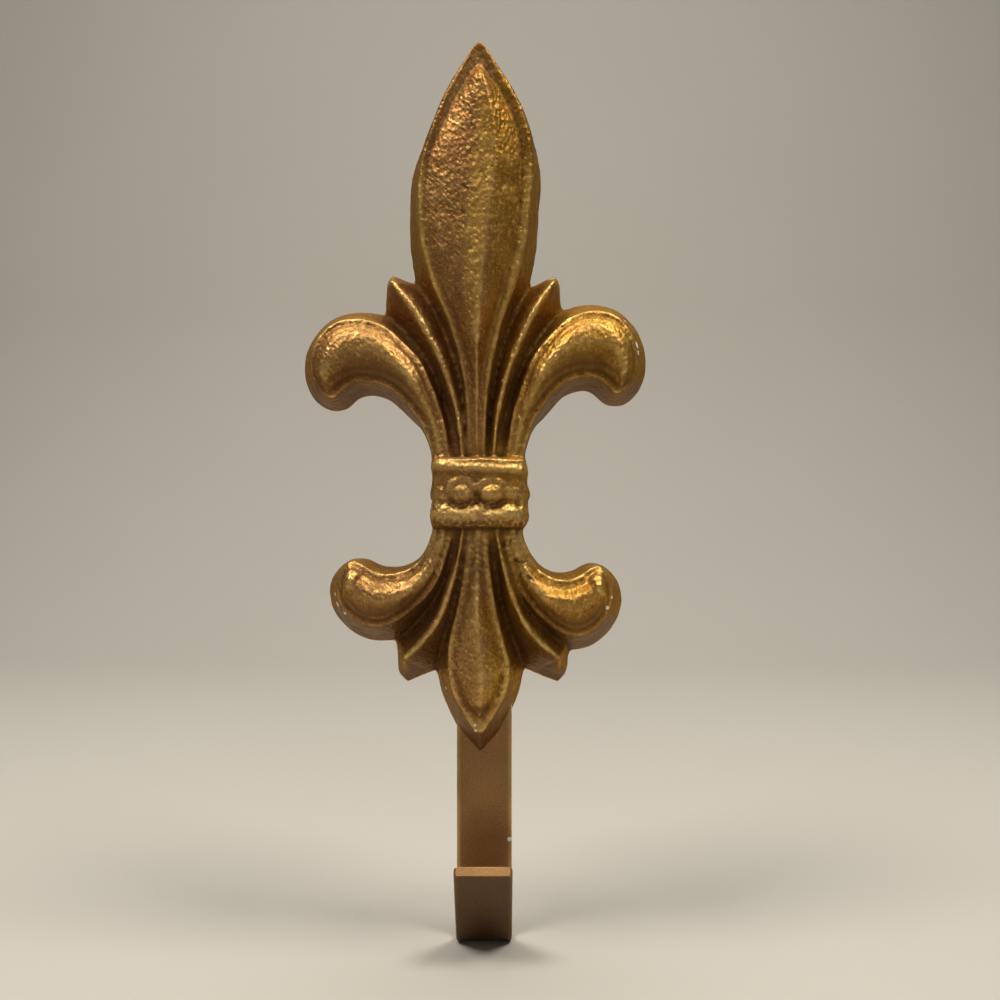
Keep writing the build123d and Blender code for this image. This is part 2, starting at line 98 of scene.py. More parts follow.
# Outlines of the small points: ridge x and z, inner foot x and z, outer foot x and z, share of the depth.
UPPER_POINT = (
    (4.6, 5.0, 2.0, 5.0, 7.2, 5.0, 0.97), (5.0, 14.0, 1.5, 14.5, 8.8, 13.5, 1.0),
    (6.0, 24.0, 1.5, 25.5, 10.8, 22.5, 1.0), (8.0, 33.0, 2.5, 35.5, 13.5, 30.5, 1.0),
    (10.8, 42.0, 4.5, 45.5, 17.5, 38.5, 1.0), (14.5, 50.0, 7.5, 54.5, 21.5, 46.0, 1.0),
    (18.0, 57.0, 11.0, 62.0, 25.0, 53.5, 0.99), (22.0, 63.2, 15.5, 67.5, 28.5, 60.5, 0.95),
    (25.6, 68.3, 19.6, 70.3, 28.6, 67.3, 0.85),
)
UPPER_POINT_END = ((26.6, 73.8), (28.2, 71.4))
LOWER_POINT = (
    (4.8, -5.0, 2.0, -5.0, 7.5, -5.0, 0.97), (5.4, -12.6, 2.0, -13.0, 9.3, -12.0, 1.0),
    (7.0, -21.6, 2.5, -23.0, 11.5, -19.5, 1.0), (9.5, -31.3, 3.5, -34.0, 15.5, -28.5, 1.0),
    (12.3, -38.8, 5.5, -43.0, 18.5, -35.5, 1.0), (15.2, -43.8, 8.0, -49.5, 21.5, -40.0, 1.0),
    (18.5, -47.8, 10.5, -54.5, 24.5, -44.5, 0.98), (22.0, -51.2, 13.0, -58.5, 27.0, -49.0, 0.95),
    (24.5, -53.6, 16.5, -60.6, 28.5, -50.1, 0.88),
)
LOWER_POINT_END = ((24.8, -64.2), (27.7, -61.0))

# The collar in metres. Beads and ledge: height of the middle and half the height. Scallops of the lower bead:
# depth, shift and length. Fill over the eggs: where it starts, the rise to its full swell, and that swell.
UPPER_BEAD = 0.0076, 0.0022
LOWER_BEAD = -0.0076, 0.0034
TOP_LEDGE = 0.0106, 0.0008
LEDGE_SWELL = 0.0017
SCALLOPS = 0.0007, 0.0007, 0.0098
EGG_FILL = 0.001, 0.003, 0.0015

# The eggs in metres: the way along the collar's outline from its middle, and how far each is sunk in.
EGGS = (
    (-0.0262, 0.0), (-0.0186, 0.0008), (-0.0116, 0.0013), (-0.0056, 0), (0.0042, 0), (0.0102, 0.0013),
    (0.0172, 0.0008), (0.0248, 0.0),
)

# The filling between the stems in metres: height, half the width and depth of its corners.
FILLING = (0.010, 0.0105, 0.0174), (0.010, 0.0105, -ROOT), (0.030, 0.012, 0.0112), (0.030, 0.012, -ROOT)

# Painted highlight round the collar, on the upper halves of its beads and on the stems: heights in
# millimetres with its strength there, and half the width that it takes in.
COLLAR_HIGHLIGHT = (-36, -22, -11, -10, -6, 4, 6, 9, 11, 24), (0, 0.5, 0.8, 0.4, 1, 0.2, 0.4, 0.9, 0.4, 0)
COLLAR_REACH = 17

# White chips in the paint, in millimetres as seen from the front: x, z and radius.
CHIPS = (
    (51.0, 48.1, 1.7), (51.6, 45.6, 1.2), (47.6, 56.2, 1.0), (23.8, 71.6, 1.6), (7.7, 36.2, 0.8),
    (-46.4, -36.4, 1.4), (-43.8, -39.2, 1.0), (-47.4, -33.2, 0.9), (42.8, -33.8, 0.9), (41.4, -37.1, 1.1),
    (-1.4, -75.2, 0.8), (-1.2, -76.8, 0.8), (-11.2, -64.7, 0.8),
)

# Dark nicks in the paint, in millimetres: x and z of both ends, and width.
NICKS = (
    (-5.2, 98.0, -3.4, 96.4, 0.5), (-5.6, 90.2, -4.6, 88.6, 0.45), (11.4, -21.6, 14.4, -22.6, 0.5),
    (15.6, -26.6, 17.2, -27.9, 0.5),
)


def metres(name, default, description):
    """A length that the sidebar shows."""
    return FloatProperty(name=name, description=description, default=default, unit="LENGTH")


class CastingSizes(bpy.types.PropertyGroup):
    """Sizes of the casting's relief"""
    leaf_depth: metres("Top leaf depth", 0.018, "Crest of the top leaf's rim above the wall")
    leaf_crown: metres("Top leaf crown", 0.006, "Keel of the top leaf above its rims")
    tail_depth: metres("Bottom leaf depth", 0.017, "Crest of the bottom leaf's rim above the wall")
    tail_crown: metres("Bottom leaf crown", 0.0045, "Keel of the bottom leaf above its rims")
    upper_depth: metres("Upper scroll depth", 0.018, "Crest of an upper scroll's rim above the wall")
    lower_depth: metres("Lower scroll depth", 0.017, "Crest of a lower scroll's rim above the wall")
    scroll_crown: metres("Scroll crown", 0.005, "Crest of a scroll's roll above its rims")
    rim: metres("Rim width", 0.0017, "Width of the raised rim along a petal's edge")
    groove: metres("Groove depth", 0.0013, "Groove inside the rim, below its crest")
    flute: metres("Carved line depth", 0.0006, "Depth of the carved line beside a scroll's rim")
    upper_point_depth: metres("Upper point depth", 0.0192, "Ridge of an upper point above the wall")
    lower_point_depth: metres("Lower point depth", 0.0182, "Ridge of a lower point above the wall")
    collar_depth: metres("Collar depth", 0.0215, "Front of the collar's core above the wall")
    collar_half_width: metres("Collar half width", 0.0134, "Half the width of the collar's front")
    bead_swell: metres("Bead swell", 0.0025, "How far the collar's beads stand out")
    egg_radius: metres("Egg radius", 0.0041, "Half the height of an egg on the collar")
    dents: metres("Hammer dents", 0.0003, "Depth of the dents that the hand-made model left")
    grain: metres("Mesh grain", 0.00066, "Size of the mesh cells that the relief is cast in")


class BarSizes(bpy.types.PropertyGroup):
    """Sizes of the flat bar and of what is cut in it"""
    width: metres("Width", 0.0185, "Width of the bar")
    thickness: metres("Thickness", 0.0032, "Thickness of the bar")
    shift: metres("Shift", 0.0014, "Middle of the bar, right of the collar's middle")
    top: metres("Top", 0.102, "Upper end of the bar")
    drop: metres("Drop", 0.1493, "Underside of the bend, below the origin")
    bend: metres("Bend radius", 0.002, "Radius inside the bend")
    lean: FloatProperty(name="Lip lean", description="Lean of the lip, out from upright",
                        default=radians(35), subtype="ANGLE")
    lip: metres("Lip length", 0.034, "Straight part of the lip")
    edge: metres("Edge radius", 0.0006, "Rounding of the bar's long edges")
    clearance: metres("Clearance", 0.0001, "Play between the bar and the casting's groove")
    keyhole: metres("Keyhole radius", 0.005, "Radius of the keyhole's entry")
    keyhole_slot: metres("Keyhole slot radius", 0.0025, "Half the width of the keyhole's slot")
    keyhole_height: metres("Keyhole height", 0.082, "Middle of the keyhole's entry")
    keyhole_rise: metres("Keyhole rise", 0.010, "Length of the keyhole's slot")


class ScrewSizes(bpy.types.PropertyGroup):
    """Sizes of the two countersunk screws"""
    upper: metres("Upper screw", 0.038, "Height of the upper screw")
    lower: metres("Lower screw", -0.048, "Height of the lower screw")
    head: metres("Head radius", 0.0036, "Radius of the head")
    head_height: metres("Head height", 0.002, "Height of the head's cone")
    sink: metres("Sink", 0.0002, "How far the head lies below the back")
    shank: metres("Shank radius", 0.0017, "Radius of the shank")
    length: metres("Length", 0.014, "Length with the head")
    slot: metres("Slot width", 0.0009, "Width and depth of the driver's slot")


class StudioSettings(bpy.types.PropertyGroup):
    """Light, floor and camera"""
    key: FloatProperty(name="Key power", description="Power of each soft light overhead",
                       default=5.0, unit="POWER")
    fill: FloatProperty(name="Fill power", description="Power of the soft light in front",
                        default=0.38, unit="POWER")
    backdrop: FloatProperty(name="Backdrop power", description="Power of the light on the paper behind",
                            default=9.0, unit="POWER")
    sky: FloatProperty(name="Surrounding light", description="Strength of the even light all round",
                       default=0.08)
    distance: metres("Camera distance", 0.34, "Camera in front of the wall plane")
    lens: FloatProperty(name="Lens", description="Focal length on a 36 mm sensor", default=36.0)
    seed: IntProperty(name="Seed", description="Seed of the dents and the uneven paint", default=7)


# Shapes

def smooth_rows(rows, steps):
    """Rows of numbers with places added between each two, on a smooth curve through them."""
    rows = np.array(rows, float)
    line = np.vstack([2 * rows[:1] - rows[1:2], rows, 2 * rows[-1:] - rows[-2:-1]])
    t = np.linspace(0, 1, steps, endpoint=False)[:, None]
    spans = [
        b + 0.5 * t * ((c - a) + t * ((2 * a - 5 * b + 4 * c - d) + t * (3 * (b - c) + d - a)))
        for a, b, c, d in zip(line, line[1:], line[2:], line[3:])
    ]
    return np.vstack(spans + [rows[-1:]])


def edge_normals(edge, away):
    """Normals of an outline, on the side that away points to."""
    along = np.gradient(edge, axis=0)
    normal = np.stack([along[:, 1], -along[:, 0]], axis=1)
    normal /= np.linalg.norm(normal, axis=1)[:, None]
    return normal * np.where((normal * away).sum(axis=1) < 0, -1, 1)[:, None]


def grid_shell(columns):
    """A closed skin over columns of points that go round a long form: vertices and faces."""
    points = np.stack(columns, axis=1)
    rows, wide = points.shape[:2]
    faces = [
        (i * wide + j, i * wide + (j + 1) % wide, (i + 1) * wide + (j + 1) % wide, (i + 1) * wide + j)
        for i in range(rows - 1) for j in range(wide)
    ]
    faces.append(tuple(range(wide)))
    faces.append(tuple((rows - 1) * wide + j for j in reversed(range(wide))))
    return points.reshape(-1, 3), faces


def at_depth(plan, depth):
    """Points of an outline at a depth in front of the wall."""
    return np.stack([plan[:, 0], -np.broadcast_to(depth, plan.shape[:1]), plan[:, 1]], axis=1)


def crown_shape(share, roundness):
    """Height of a petal's field, from 0 in the groove to 1 at its crest."""
    return (1 - roundness) * share + roundness * np.sqrt(np.clip(1 - (1 - share) ** 2, 0, 1))


def spread_along(values, way):
    """Values spread evenly from a petal's root to its tip, at places on the way."""
    return np.interp(way, np.linspace(0, 1, len(values)), values)


def rounded_feet(inner, tip, outer, rounds):
    """The foot of a petal's wall, rounded off towards the tip: inner feet, tip and outer feet."""
    loop = np.vstack([inner, tip, outer[::-1]])
    smooth = loop.copy()
    for _ in range(rounds):
        smooth[1:-1] = 0.5 * smooth[1:-1] + 0.25 * (smooth[:-2] + smooth[2:])
    near = 1 - abs(np.linspace(-1, 1, len(loop)))
    share = np.clip((near - 0.8) / 0.12, 0, 1)[:, None]
    loop = loop * (1 - share) + smooth * share
    return loop[:len(inner)], loop[len(inner)], loop[len(inner) + 1:][::-1]


def petal_shell(rows, stretch, sizes, depth, crown, roundness, crest, runs, rims, flute, tip_rounds,
                rim_end=0.86, ledge=0.0004, full_field=0.009, line_place=0.0022, line_half=0.0006):
    """A petal with sloping walls, a rim along each edge and a crowned field, carved beside the rims."""
    rows = smooth_rows(rows, 9)
    scale = np.array(stretch) * MM
    inner, outer, share = rows[:, 0:2] * scale, rows[:, 2:4] * scale, rows[:, 4]
    width = np.linalg.norm(outer - inner, axis=1)
    across = (outer - inner) / width[:, None]
    normals = edge_normals(inner, -across), edge_normals(outer, across)
    tip_normal = normals[0][-1] + normals[1][-1]
    tip_normal /= np.linalg.norm(tip_normal)
    mitre = 1 / max(0.3, tip_normal @ normals[0][-1])
    middle = (inner[-1] + outer[-1]) / 2
    way = np.linspace(0, 1, len(rows))
    crest = spread_along(crest, way)
    limit = np.interp(way, (0.8, 0.92), (0.24, 0.47)) * width
    rim = [np.minimum(spread_along(side, way) * MM, limit) for side in rims]
    fade = np.interp(way, (rim_end, rim_end + 0.12), (1, 0))
    groove = [sizes.groove * np.minimum(1, side / sizes.rim) * fade for side in rim]
    field = width - rim[0] - rim[1]
    ending = np.sqrt(1 - np.clip(5.5 * way - 4.5, 0, 1) ** 2)
    rise = (crown + sizes.groove) * np.minimum(1, field / full_field) * ending
    spread = [np.maximum(run * share, ledge)[:, None] for run in runs]
    tip_foot = middle + tip_normal * (sum(runs) / 2 * share[-1] * mitre)
    feet = rounded_feet(inner + normals[0] * spread[0], tip_foot, outer + normals[1] * spread[1], tip_rounds)
    columns, tips = [], []

    def add(plan, deep, tip):
        """One column of points, and where it ends at the petal's tip."""
        columns.append(at_depth(plan, deep))
        tips.append((*tip, columns[-1][-1][1]))

    def wall(side, edge, foot, steps):
        """The columns up a wall, or down it."""
        top, tip_top = edge + normals[side] * ledge, middle + tip_normal * ledge
        for up in steps:
            deep = (depth - groove[side]) * up if up > 0 else up * depth
            add(foot + (top - foot) * up, deep, feet[1] + (tip_top - feet[1]) * up)

    def bead(side, edge, inward, steps):
        """The columns over a rounded rim."""
        for place in steps:
            off = (rim[side] - ledge) / 2 + (rim[side] + ledge) / 2 * place
            deep = depth - groove[side] * (1 - np.sqrt(1 - place ** 2))
            add(edge + inward * off[:, None], deep, middle + tip_normal * ledge * (1 - place) / 2)

    steps = (-ROOT / depth, 0, 0.15, 0.3, 0.45, 0.6, 0.75, 0.88)
    places = np.sin(np.linspace(-pi / 2, pi / 2, 9))
    wall(0, inner, feet[0], steps)
    bead(0, inner, across, places)
    carved = flute * np.clip((width - 0.007) / 0.006, 0, 1) * fade
    for s in np.linspace(0, 1, 49)[1:-1]:
        before, after = crown_shape(s / crest, roundness[0]), crown_shape((1 - s) / (1 - crest), roundness[1])
        height = depth - groove[0] * (1 - s) - groove[1] * s + rise * np.where(s < crest, before, after)
        for gap in (field * s, field * (1 - s)):
            height = height - carved * np.exp(-((gap - line_place) / line_half) ** 2)
        add(inner + across * (rim[0] + field * s)[:, None], height, middle)
    bead(1, outer, -across, places[::-1])
    wall(1, outer, feet[2], steps[::-1])
    tips = np.array(tips)[:, [0, 2, 1]]
    return grid_shell([np.vstack([column, tip]) for column, tip in zip(columns, tips)])


def point_shells(rows, end, stretch, depth, blunt=0.2, splay=1.05):
    """A small point: a roof with a rounded ridge, and the facets that close its end."""
    scale = np.array(stretch) * MM
    rows = smooth_rows(rows, 7)
    ridge, inner, outer = (rows[:, i:i + 2] * scale for i in (0, 2, 4))
    deep = depth * rows[:, 6]
    steps = np.linspace(0, 1, 13)
    columns = []
    for foot, order in ((inner, steps[::-1]), (outer, steps[1:])):
        for f in order:
            fall = (np.sqrt(f ** 2 + blunt ** 2) - blunt) / (np.sqrt(1 + blunt ** 2) - blunt)
            columns.append(at_depth(ridge + (foot - ridge) * f, deep * (1 - fall)))
    for foot, place in ((inner, 0), (outer, len(columns) + 1)):
        columns.insert(place, at_depth(ridge + (foot - ridge) * splay, -ROOT))
    top = ridge[-1]
    feet = [ridge[-8], inner[-1], np.array(end[0]) * scale, np.array(end[1]) * scale, outer[-1]]
    cloud = [(top + (foot - top) * f, deep[-1] * (1 - f)) for foot in feet for f in (0.05, 0.3, 1.0)]
    cloud += [(top + (foot - top) * splay, -ROOT) for foot in feet]
    return grid_shell(columns), hull([(plan[0], -up, plan[1]) for plan, up in cloud])


def hull(points):
    """The convex skin over points."""
    mesh = bmesh.new()
    for point in points:
        mesh.verts.new(point)
    made = bmesh.ops.convex_hull(mesh, input=mesh.verts)
    loose = {v for v in made["geom_interior"] + made["geom_unused"] if isinstance(v, bmesh.types.BMVert)}
    bmesh.ops.delete(mesh, geom=list(loose), context="VERTS")
    mesh.verts.index_update()
    result = np.array([v.co[:] for v in mesh.verts]), [tuple(v.index for v in f.verts) for f in mesh.faces]
    mesh.free()
    return result


def collar_path(sizes, swell, corner=0.004, foot=0.0006):
    """The collar's outline from foot to foot round the front, and the way along it from the middle."""
    front, deep = sizes.collar_half_width + swell, sizes.collar_depth + swell
    arc = np.linspace(0, pi / 2, 9)
    side = np.linspace(-ROOT, deep - corner, 14)
    half = [(front + foot * (1 - up / deep), up) for up in side]
    half += [(front - corner + corner * cos(a), deep - corner + corner * sin(a)) for a in arc[1:]]
    half += [(x, deep) for x in np.linspace(front - corner, 0, 14)[1:]]
    half = np.array(half)
    way = np.concatenate([[0], np.cumsum(np.linalg.norm(np.diff(half, axis=0), axis=1))])
    way = way[-1] - way
    return np.vstack([half, half[-2::-1] * (-1, 1)]), np.concatenate([way, -way[-2::-1]])


def bead_shape(height, middle, half):
    """How far a round bead stands out, from 0 at its edges to 1 along its middle."""
    return np.sqrt(np.clip(1 - ((height - middle) / half) ** 2, 0, 1))


def collar_shell(sizes, tilt=radians(3), top=0.0112, bottom=-0.011):
    """The collar: a core with a slanting bead and a thin ledge above, and a scalloped bead below."""
    columns = []
    plain, way = collar_path(sizes, 0)
    out = edge_normals(plain, plain)
    depth, shift, length = SCALLOPS
    scallop = depth * np.cos(2 * pi * (way + shift) / length) / 2
    sides = np.where(abs(plain[:, 0]) > sizes.collar_half_width - 0.001, LEDGE_SWELL, 0.0)
    fill_start, fill_rise, fill_swell = EGG_FILL
    for z in np.linspace(bottom, top, 64):
        height = z + plain[:, 0] * tan(tilt)
        upper = bead_shape(height, *UPPER_BEAD) * sizes.bead_swell
        lower = bead_shape(z, LOWER_BEAD[0] + scallop, LOWER_BEAD[1] + scallop) * sizes.bead_swell
        ledge = bead_shape(height, *TOP_LEDGE) * LEDGE_SWELL
        fill = np.clip((height - fill_start) / fill_rise, 0, 1) * fill_swell
        fill = np.where(height < UPPER_BEAD[0], fill, 0.0)
        swell = np.maximum.reduce([upper, ledge, lower, sides, fill])
        plan = plain + out * swell[:, None]
        columns.append(np.stack([plan[:, 0], -plan[:, 1], np.full(len(plan), z)], axis=1))
    return grid_shell(list(np.stack(columns, axis=0).transpose(1, 0, 2)))


def box_shell(low, high):
    """A plain block between two corners."""
    return hull([(x, y, z) for x in (low[0], high[0]) for y in (low[1], high[1]) for z in (low[2], high[2])])


def prism_shell(outline, near, far):
    """An outline of x and z, carried from one y to another."""
    n = len(outline)
    points = [(x, y, z) for y in (near, far) for x, z in outline]
    faces = [(i, (i + 1) % n, n + (i + 1) % n, n + i) for i in range(n)]
    return np.array(points), faces + [tuple(reversed(range(n))), tuple(range(n, 2 * n))]


def lathe_shell(profile, place, sides=48):
    """A profile of radius and depth, turned round an axis that runs out from the wall at a place."""
    columns = [
        np.array([(place[0] + r * cos(a), -deep, place[1] + r * sin(a)) for r, deep in profile])
        for a in np.linspace(0, 2 * pi, sides, endpoint=False)
    ]
    return grid_shell(columns)


def keyhole_outline(bar, margin):
    """The keyhole as x and z: a round entry with a narrower slot that rises from it."""
    big, small = bar.keyhole + margin, bar.keyhole_slot + margin
    meet = asin(small / big)
    entry = np.linspace(pi / 2 - meet, pi / 2 + meet - 2 * pi, 41)
    end = np.linspace(pi, 0, 21)
    outline = [(big * cos(a), big * sin(a)) for a in entry]
    outline += [(small * cos(a), bar.keyhole_rise + small * sin(a)) for a in end]
    return [(bar.shift + x, bar.keyhole_height + z) for x, z in outline]


def rounded_end(bar, margin, corner=0.004):
    """The outline of the bar's straight part, rounded at the top, with a margin."""
    half, top = bar.width / 2 + margin, bar.top + margin
    corner += margin
    turn = np.linspace(0, pi / 2, 9)
    side = [(half - corner + corner * cos(a), top - corner + corner * sin(a)) for a in turn]
    outline = [(half, -bar.drop)] + side + [(-x, z) for x, z in reversed(side)] + [(-half, -bar.drop)]
    return [(bar.shift + x, z) for x, z in outline]


def screw_profile(screw, start, margin):
    """Radius and depth along a countersunk screw whose head is cut off at a start."""
    taper = (screw.head - screw.shank) / screw.head_height
    tip = screw.sink + screw.length + margin
    return (
        (0.0, start),
        (screw.head + margin + (screw.sink - start) * taper, start),
        (screw.shank + margin, screw.sink + screw.head_height),
        (screw.shank + margin, tip - 0.003),
        (0.0003 + margin, tip),
        (0.0, tip),
    )


# Objects

def linked(name, data):
    """A new object in the scene."""
    obj = bpy.data.objects.new(name, data)
    bpy.context.collection.objects.link(obj)
    return obj


def point_object(name, points, edges=()):
    """An object of bare points and edges for a node group to work on."""
    mesh = bpy.data.meshes.new(name)
    mesh.from_pydata(points, edges, [])
    return linked(name, mesh)


def weld(mesh):
    """Joins vertices that lie in one place, and turns every face outwards."""
    made = bmesh.new()
    made.from_mesh(mesh)
    bmesh.ops.remove_doubles(made, verts=made.verts, dist=WELD)
    bmesh.ops.recalc_face_normals(made, faces=made.faces)
    made.to_mesh(mesh)
    made.free()


def new_object(name, material, *shells):
    """A mesh object made of one or more skins, facing outwards."""
    points, faces, start = [], [], 0
    for shell_points, shell_faces in shells:
        points.extend(map(tuple, shell_points))
        faces.extend(tuple(start + i for i in face) for face in shell_faces)
        start += len(shell_points)
    mesh = bpy.data.meshes.new(name)
    mesh.from_pydata(points, [], faces)
    mesh.validate()
    mesh.materials.append(material)
    weld(mesh)
    return linked(name, mesh)


def bake(obj):
    """Puts what the modifiers make into the object's own mesh."""
    graph = bpy.context.evaluated_depsgraph_get()
    mesh = bpy.data.meshes.new_from_object(
        obj.evaluated_get(graph), preserve_all_data_layers=True, depsgraph=graph)
    old = obj.data
    obj.modifiers.clear()
    obj.data = mesh
    mesh.name = obj.name
    bpy.data.meshes.remove(old)


def drop(obj):
    """Removes a helper object and its mesh."""
    mesh = obj.data
    bpy.data.objects.remove(obj)
    bpy.data.meshes.remove(mesh)


def cut(obj, shell, material):
    """Takes a solid out of an object; the new faces get the material."""
    cutter = new_object("cutter", material, shell)
    difference = obj.modifiers.new("cut", "BOOLEAN")
    difference.operation = "DIFFERENCE"
    difference.solver = "MANIFOLD"
    difference.material_mode = "TRANSFER"
    difference.object = cutter
    bake(obj)
    drop(cutter)


def run_nodes(obj, tree, values):
    """Runs a node group on an object with the named inputs set, and keeps the result as its mesh."""
    modifier = obj.modifiers.new(tree.name, "NODES")
    modifier.node_group = tree
    for item in tree.interface.items_tree:
        if item.in_out == "INPUT" and item.name in values:
            modifier[item.identifier] = values[item.name]
    bake(obj)
    bpy.data.node_groups.remove(tree)


def vertex_array(mesh, name, width=3):
    """One value per vertex as an array."""
    values = np.empty(len(mesh.vertices) * width)
    mesh.vertices.foreach_get(name, values)
    return values.reshape(-1, width)


def edge_array(mesh):
    """Vertex numbers of the edges."""
    edges = np.empty(len(mesh.edges) * 2, int)
    mesh.edges.foreach_get("vertices", edges)
    return edges.reshape(-1, 2)


def relaxed(points, edges, rounds):
    """Points moved towards the middle of their neighbours a number of times."""
    ends = np.concatenate([edges[:, 0], edges[:, 1]])
    others = np.concatenate([edges[:, 1], edges[:, 0]])
    count = np.maximum(1, np.bincount(ends, minlength=len(points)))
    for _ in range(rounds):
        middle = np.stack([np.bincount(ends, points[others, k], len(points)) for k in range(3)], axis=1)
        points = 0.5 * points + 0.5 * middle / count[:, None]
    return points


def store(mesh, name, values):
    """Keeps one number per vertex under a name that a material can read."""
    attribute = mesh.attributes.new(name, "FLOAT", "POINT")
    attribute.data.foreach_set("value", np.clip(values, 0, 1).astype(np.float32))


# Node groups

def group_inputs(tree, inputs):
    """Adds the group's inputs and its geometry output, and returns the two end nodes."""
    for name, kind in inputs:
        tree.interface.new_socket(name, in_out="INPUT", socket_type="NodeSocket" + kind)
    tree.interface.new_socket("Geometry", in_out="OUTPUT", socket_type="NodeSocketGeometry")
    return tree.nodes.new("NodeGroupInput"), tree.nodes.new("NodeGroupOutput")


def set_inputs(tree, node, values):
    """Sets inputs of a node, or links them to other nodes."""
    for name, value in values.items():
        if isinstance(value, bpy.types.NodeSocket):
            tree.links.new(value, node.inputs[name])
        else:
            node.inputs[name].default_value = value


def add_node(tree, kind, values=None, **settings):
    """Adds a node with its options and inputs."""
    made = tree.nodes.new(kind)
    for name, value in settings.items():
        setattr(made, name, value)
    set_inputs(tree, made, values or {})
    return made


def end_group(tree, end, geometry, material):
    """Ends a node group: instances are made real, and the material is set."""
    real = add_node(tree, "GeometryNodeRealizeInstances", {"Geometry": geometry})
    done = add_node(tree, "GeometryNodeSetMaterial", {"Geometry": real.outputs[0], "Material": material})
    tree.links.new(done.outputs[0], end.inputs[0])
    return tree


def bent_bar_nodes():
    """A path swept with a filleted rectangle, with the way along it kept on the mesh."""
    tree = bpy.data.node_groups.new("bent flat bar", "GeometryNodeTree")
    start, end = group_inputs(tree, (
        ("Geometry", "Geometry"), ("Width", "Float"), ("Thickness", "Float"), ("Edge radius", "Float"),
        ("Step", "Float"), ("Paint", "Material"),
    ))
    path = add_node(tree, "GeometryNodeMeshToCurve", {"Mesh": start.outputs["Geometry"]})
    path = add_node(tree, "GeometryNodeResampleCurve",
                    {"Curve": path.outputs[0], "Length": start.outputs["Step"]}, mode="LENGTH")
    way = add_node(tree, "GeometryNodeSplineParameter")
    path = add_node(tree, "GeometryNodeStoreNamedAttribute",
                    {"Geometry": path.outputs[0], "Name": "way", "Value": way.outputs["Length"]},
                    data_type="FLOAT", domain="POINT")
    section = add_node(tree, "GeometryNodeCurvePrimitiveQuadrilateral",
                       {"Width": start.outputs["Width"], "Height": start.outputs["Thickness"]})
    section = add_node(tree, "GeometryNodeFilletCurve",
                       {"Curve": section.outputs[0], "Count": 4, "Radius": start.outputs["Edge radius"]},
                       mode="POLY")
    section = add_node(tree, "GeometryNodeResampleCurve",
                       {"Curve": section.outputs[0], "Count": 72}, mode="COUNT")
    bar = add_node(tree, "GeometryNodeCurveToMesh",
                   {"Curve": path.outputs[0], "Profile Curve": section.outputs[0], "Fill Caps": True})
    return end_group(tree, end, bar.outputs[0], start.outputs["Paint"])


def egg_row_nodes():
    """An egg under a thin arch, set on each point and turned to the way that the point faces."""
    tree = bpy.data.node_groups.new("row of eggs", "GeometryNodeTree")
    start, end = group_inputs(tree, (
        ("Geometry", "Geometry"), ("Radius", "Float"), ("Arch thickness", "Float"), ("Paint", "Material"),
    ))
    egg = add_node(tree, "GeometryNodeMeshUVSphere",
                   {"Segments": 32, "Rings": 20, "Radius": start.outputs["Radius"]})
    egg = add_node(tree, "GeometryNodeTransform", {"Geometry": egg.outputs[0], "Scale": (1.15, 0.95, 0.92)})
    wide = add_node(tree, "ShaderNodeMath", {0: start.outputs["Radius"], 1: 1.14}, operation="MULTIPLY")
    arch = add_node(tree, "GeometryNodeCurveArc", {
        "Resolution": 40, "Radius": wide.outputs[0], "Start Angle": radians(15), "Sweep Angle": radians(150),
    }, mode="RADIUS")
    cross = add_node(tree, "GeometryNodeCurvePrimitiveCircle",
                     {"Resolution": 12, "Radius": start.outputs["Arch thickness"]})
    arch = add_node(tree, "GeometryNodeCurveToMesh",
                    {"Curve": arch.outputs[0], "Profile Curve": cross.outputs[0], "Fill Caps": True})
    arch = add_node(tree, "GeometryNodeTransform", {
        "Geometry": arch.outputs[0], "Translation": (0, 0.0022, 0), "Rotation": (radians(90), 0, 0),
    })
    both = tree.nodes.new("GeometryNodeJoinGeometry")
    tree.links.new(egg.outputs[0], both.inputs[0])
    tree.links.new(arch.outputs[0], both.inputs[0])
    facing = add_node(tree, "GeometryNodeInputNamedAttribute", {"Name": "facing"}, data_type="FLOAT_VECTOR")
    turn = add_node(tree, "FunctionNodeAlignRotationToVector", {"Vector": facing.outputs["Attribute"]},
                    axis="Y", pivot_axis="Z")
    row = add_node(tree, "GeometryNodeInstanceOnPoints", {
        "Points": start.outputs["Geometry"], "Instance": both.outputs[0], "Rotation": turn.outputs[0],
    })
    return end_group(tree, end, row.outputs[0], start.outputs["Paint"])


def screw_pair_nodes():
    """One screw repeated on each point."""
    tree = bpy.data.node_groups.new("pair of screws", "GeometryNodeTree")
    start, end = group_inputs(tree, (("Geometry", "Geometry"), ("Screw", "Object"), ("Steel", "Material")))
    screw = add_node(tree, "GeometryNodeObjectInfo", {"Object": start.outputs["Screw"]})
    row = add_node(tree, "GeometryNodeInstanceOnPoints",
                   {"Points": start.outputs["Geometry"], "Instance": screw.outputs["Geometry"]})
    return end_group(tree, end, row.outputs[0], start.outputs["Steel"])


# Finishes

def new_material(name):
    """An empty node material, its tree and its surface shader."""
    material = bpy.data.materials.new(name)
    material.use_nodes = True
    tree = material.node_tree
    return material, tree, tree.nodes["Principled BSDF"]


def placed(tree, turn=(0, 0, 0), size=(1, 1, 1)):
    """Object coordinates for a pattern that is turned and drawn out to a size along each of its axes."""
    where = add_node(tree, "ShaderNodeTexCoord")
    return add_node(tree, "ShaderNodeMapping", {
        "Vector": where.outputs["Object"], "Rotation": tuple(radians(a) for a in turn), "Scale": size,
    }, vector_type="TEXTURE").outputs[0]


def grain(tree, where, scale, detail=3.0, rough=0.55):
    """A cloudy pattern."""
    return add_node(tree, "ShaderNodeTexNoise", {
        "Vector": where, "Scale": scale, "Detail": detail, "Roughness": rough,
    }).outputs[0]


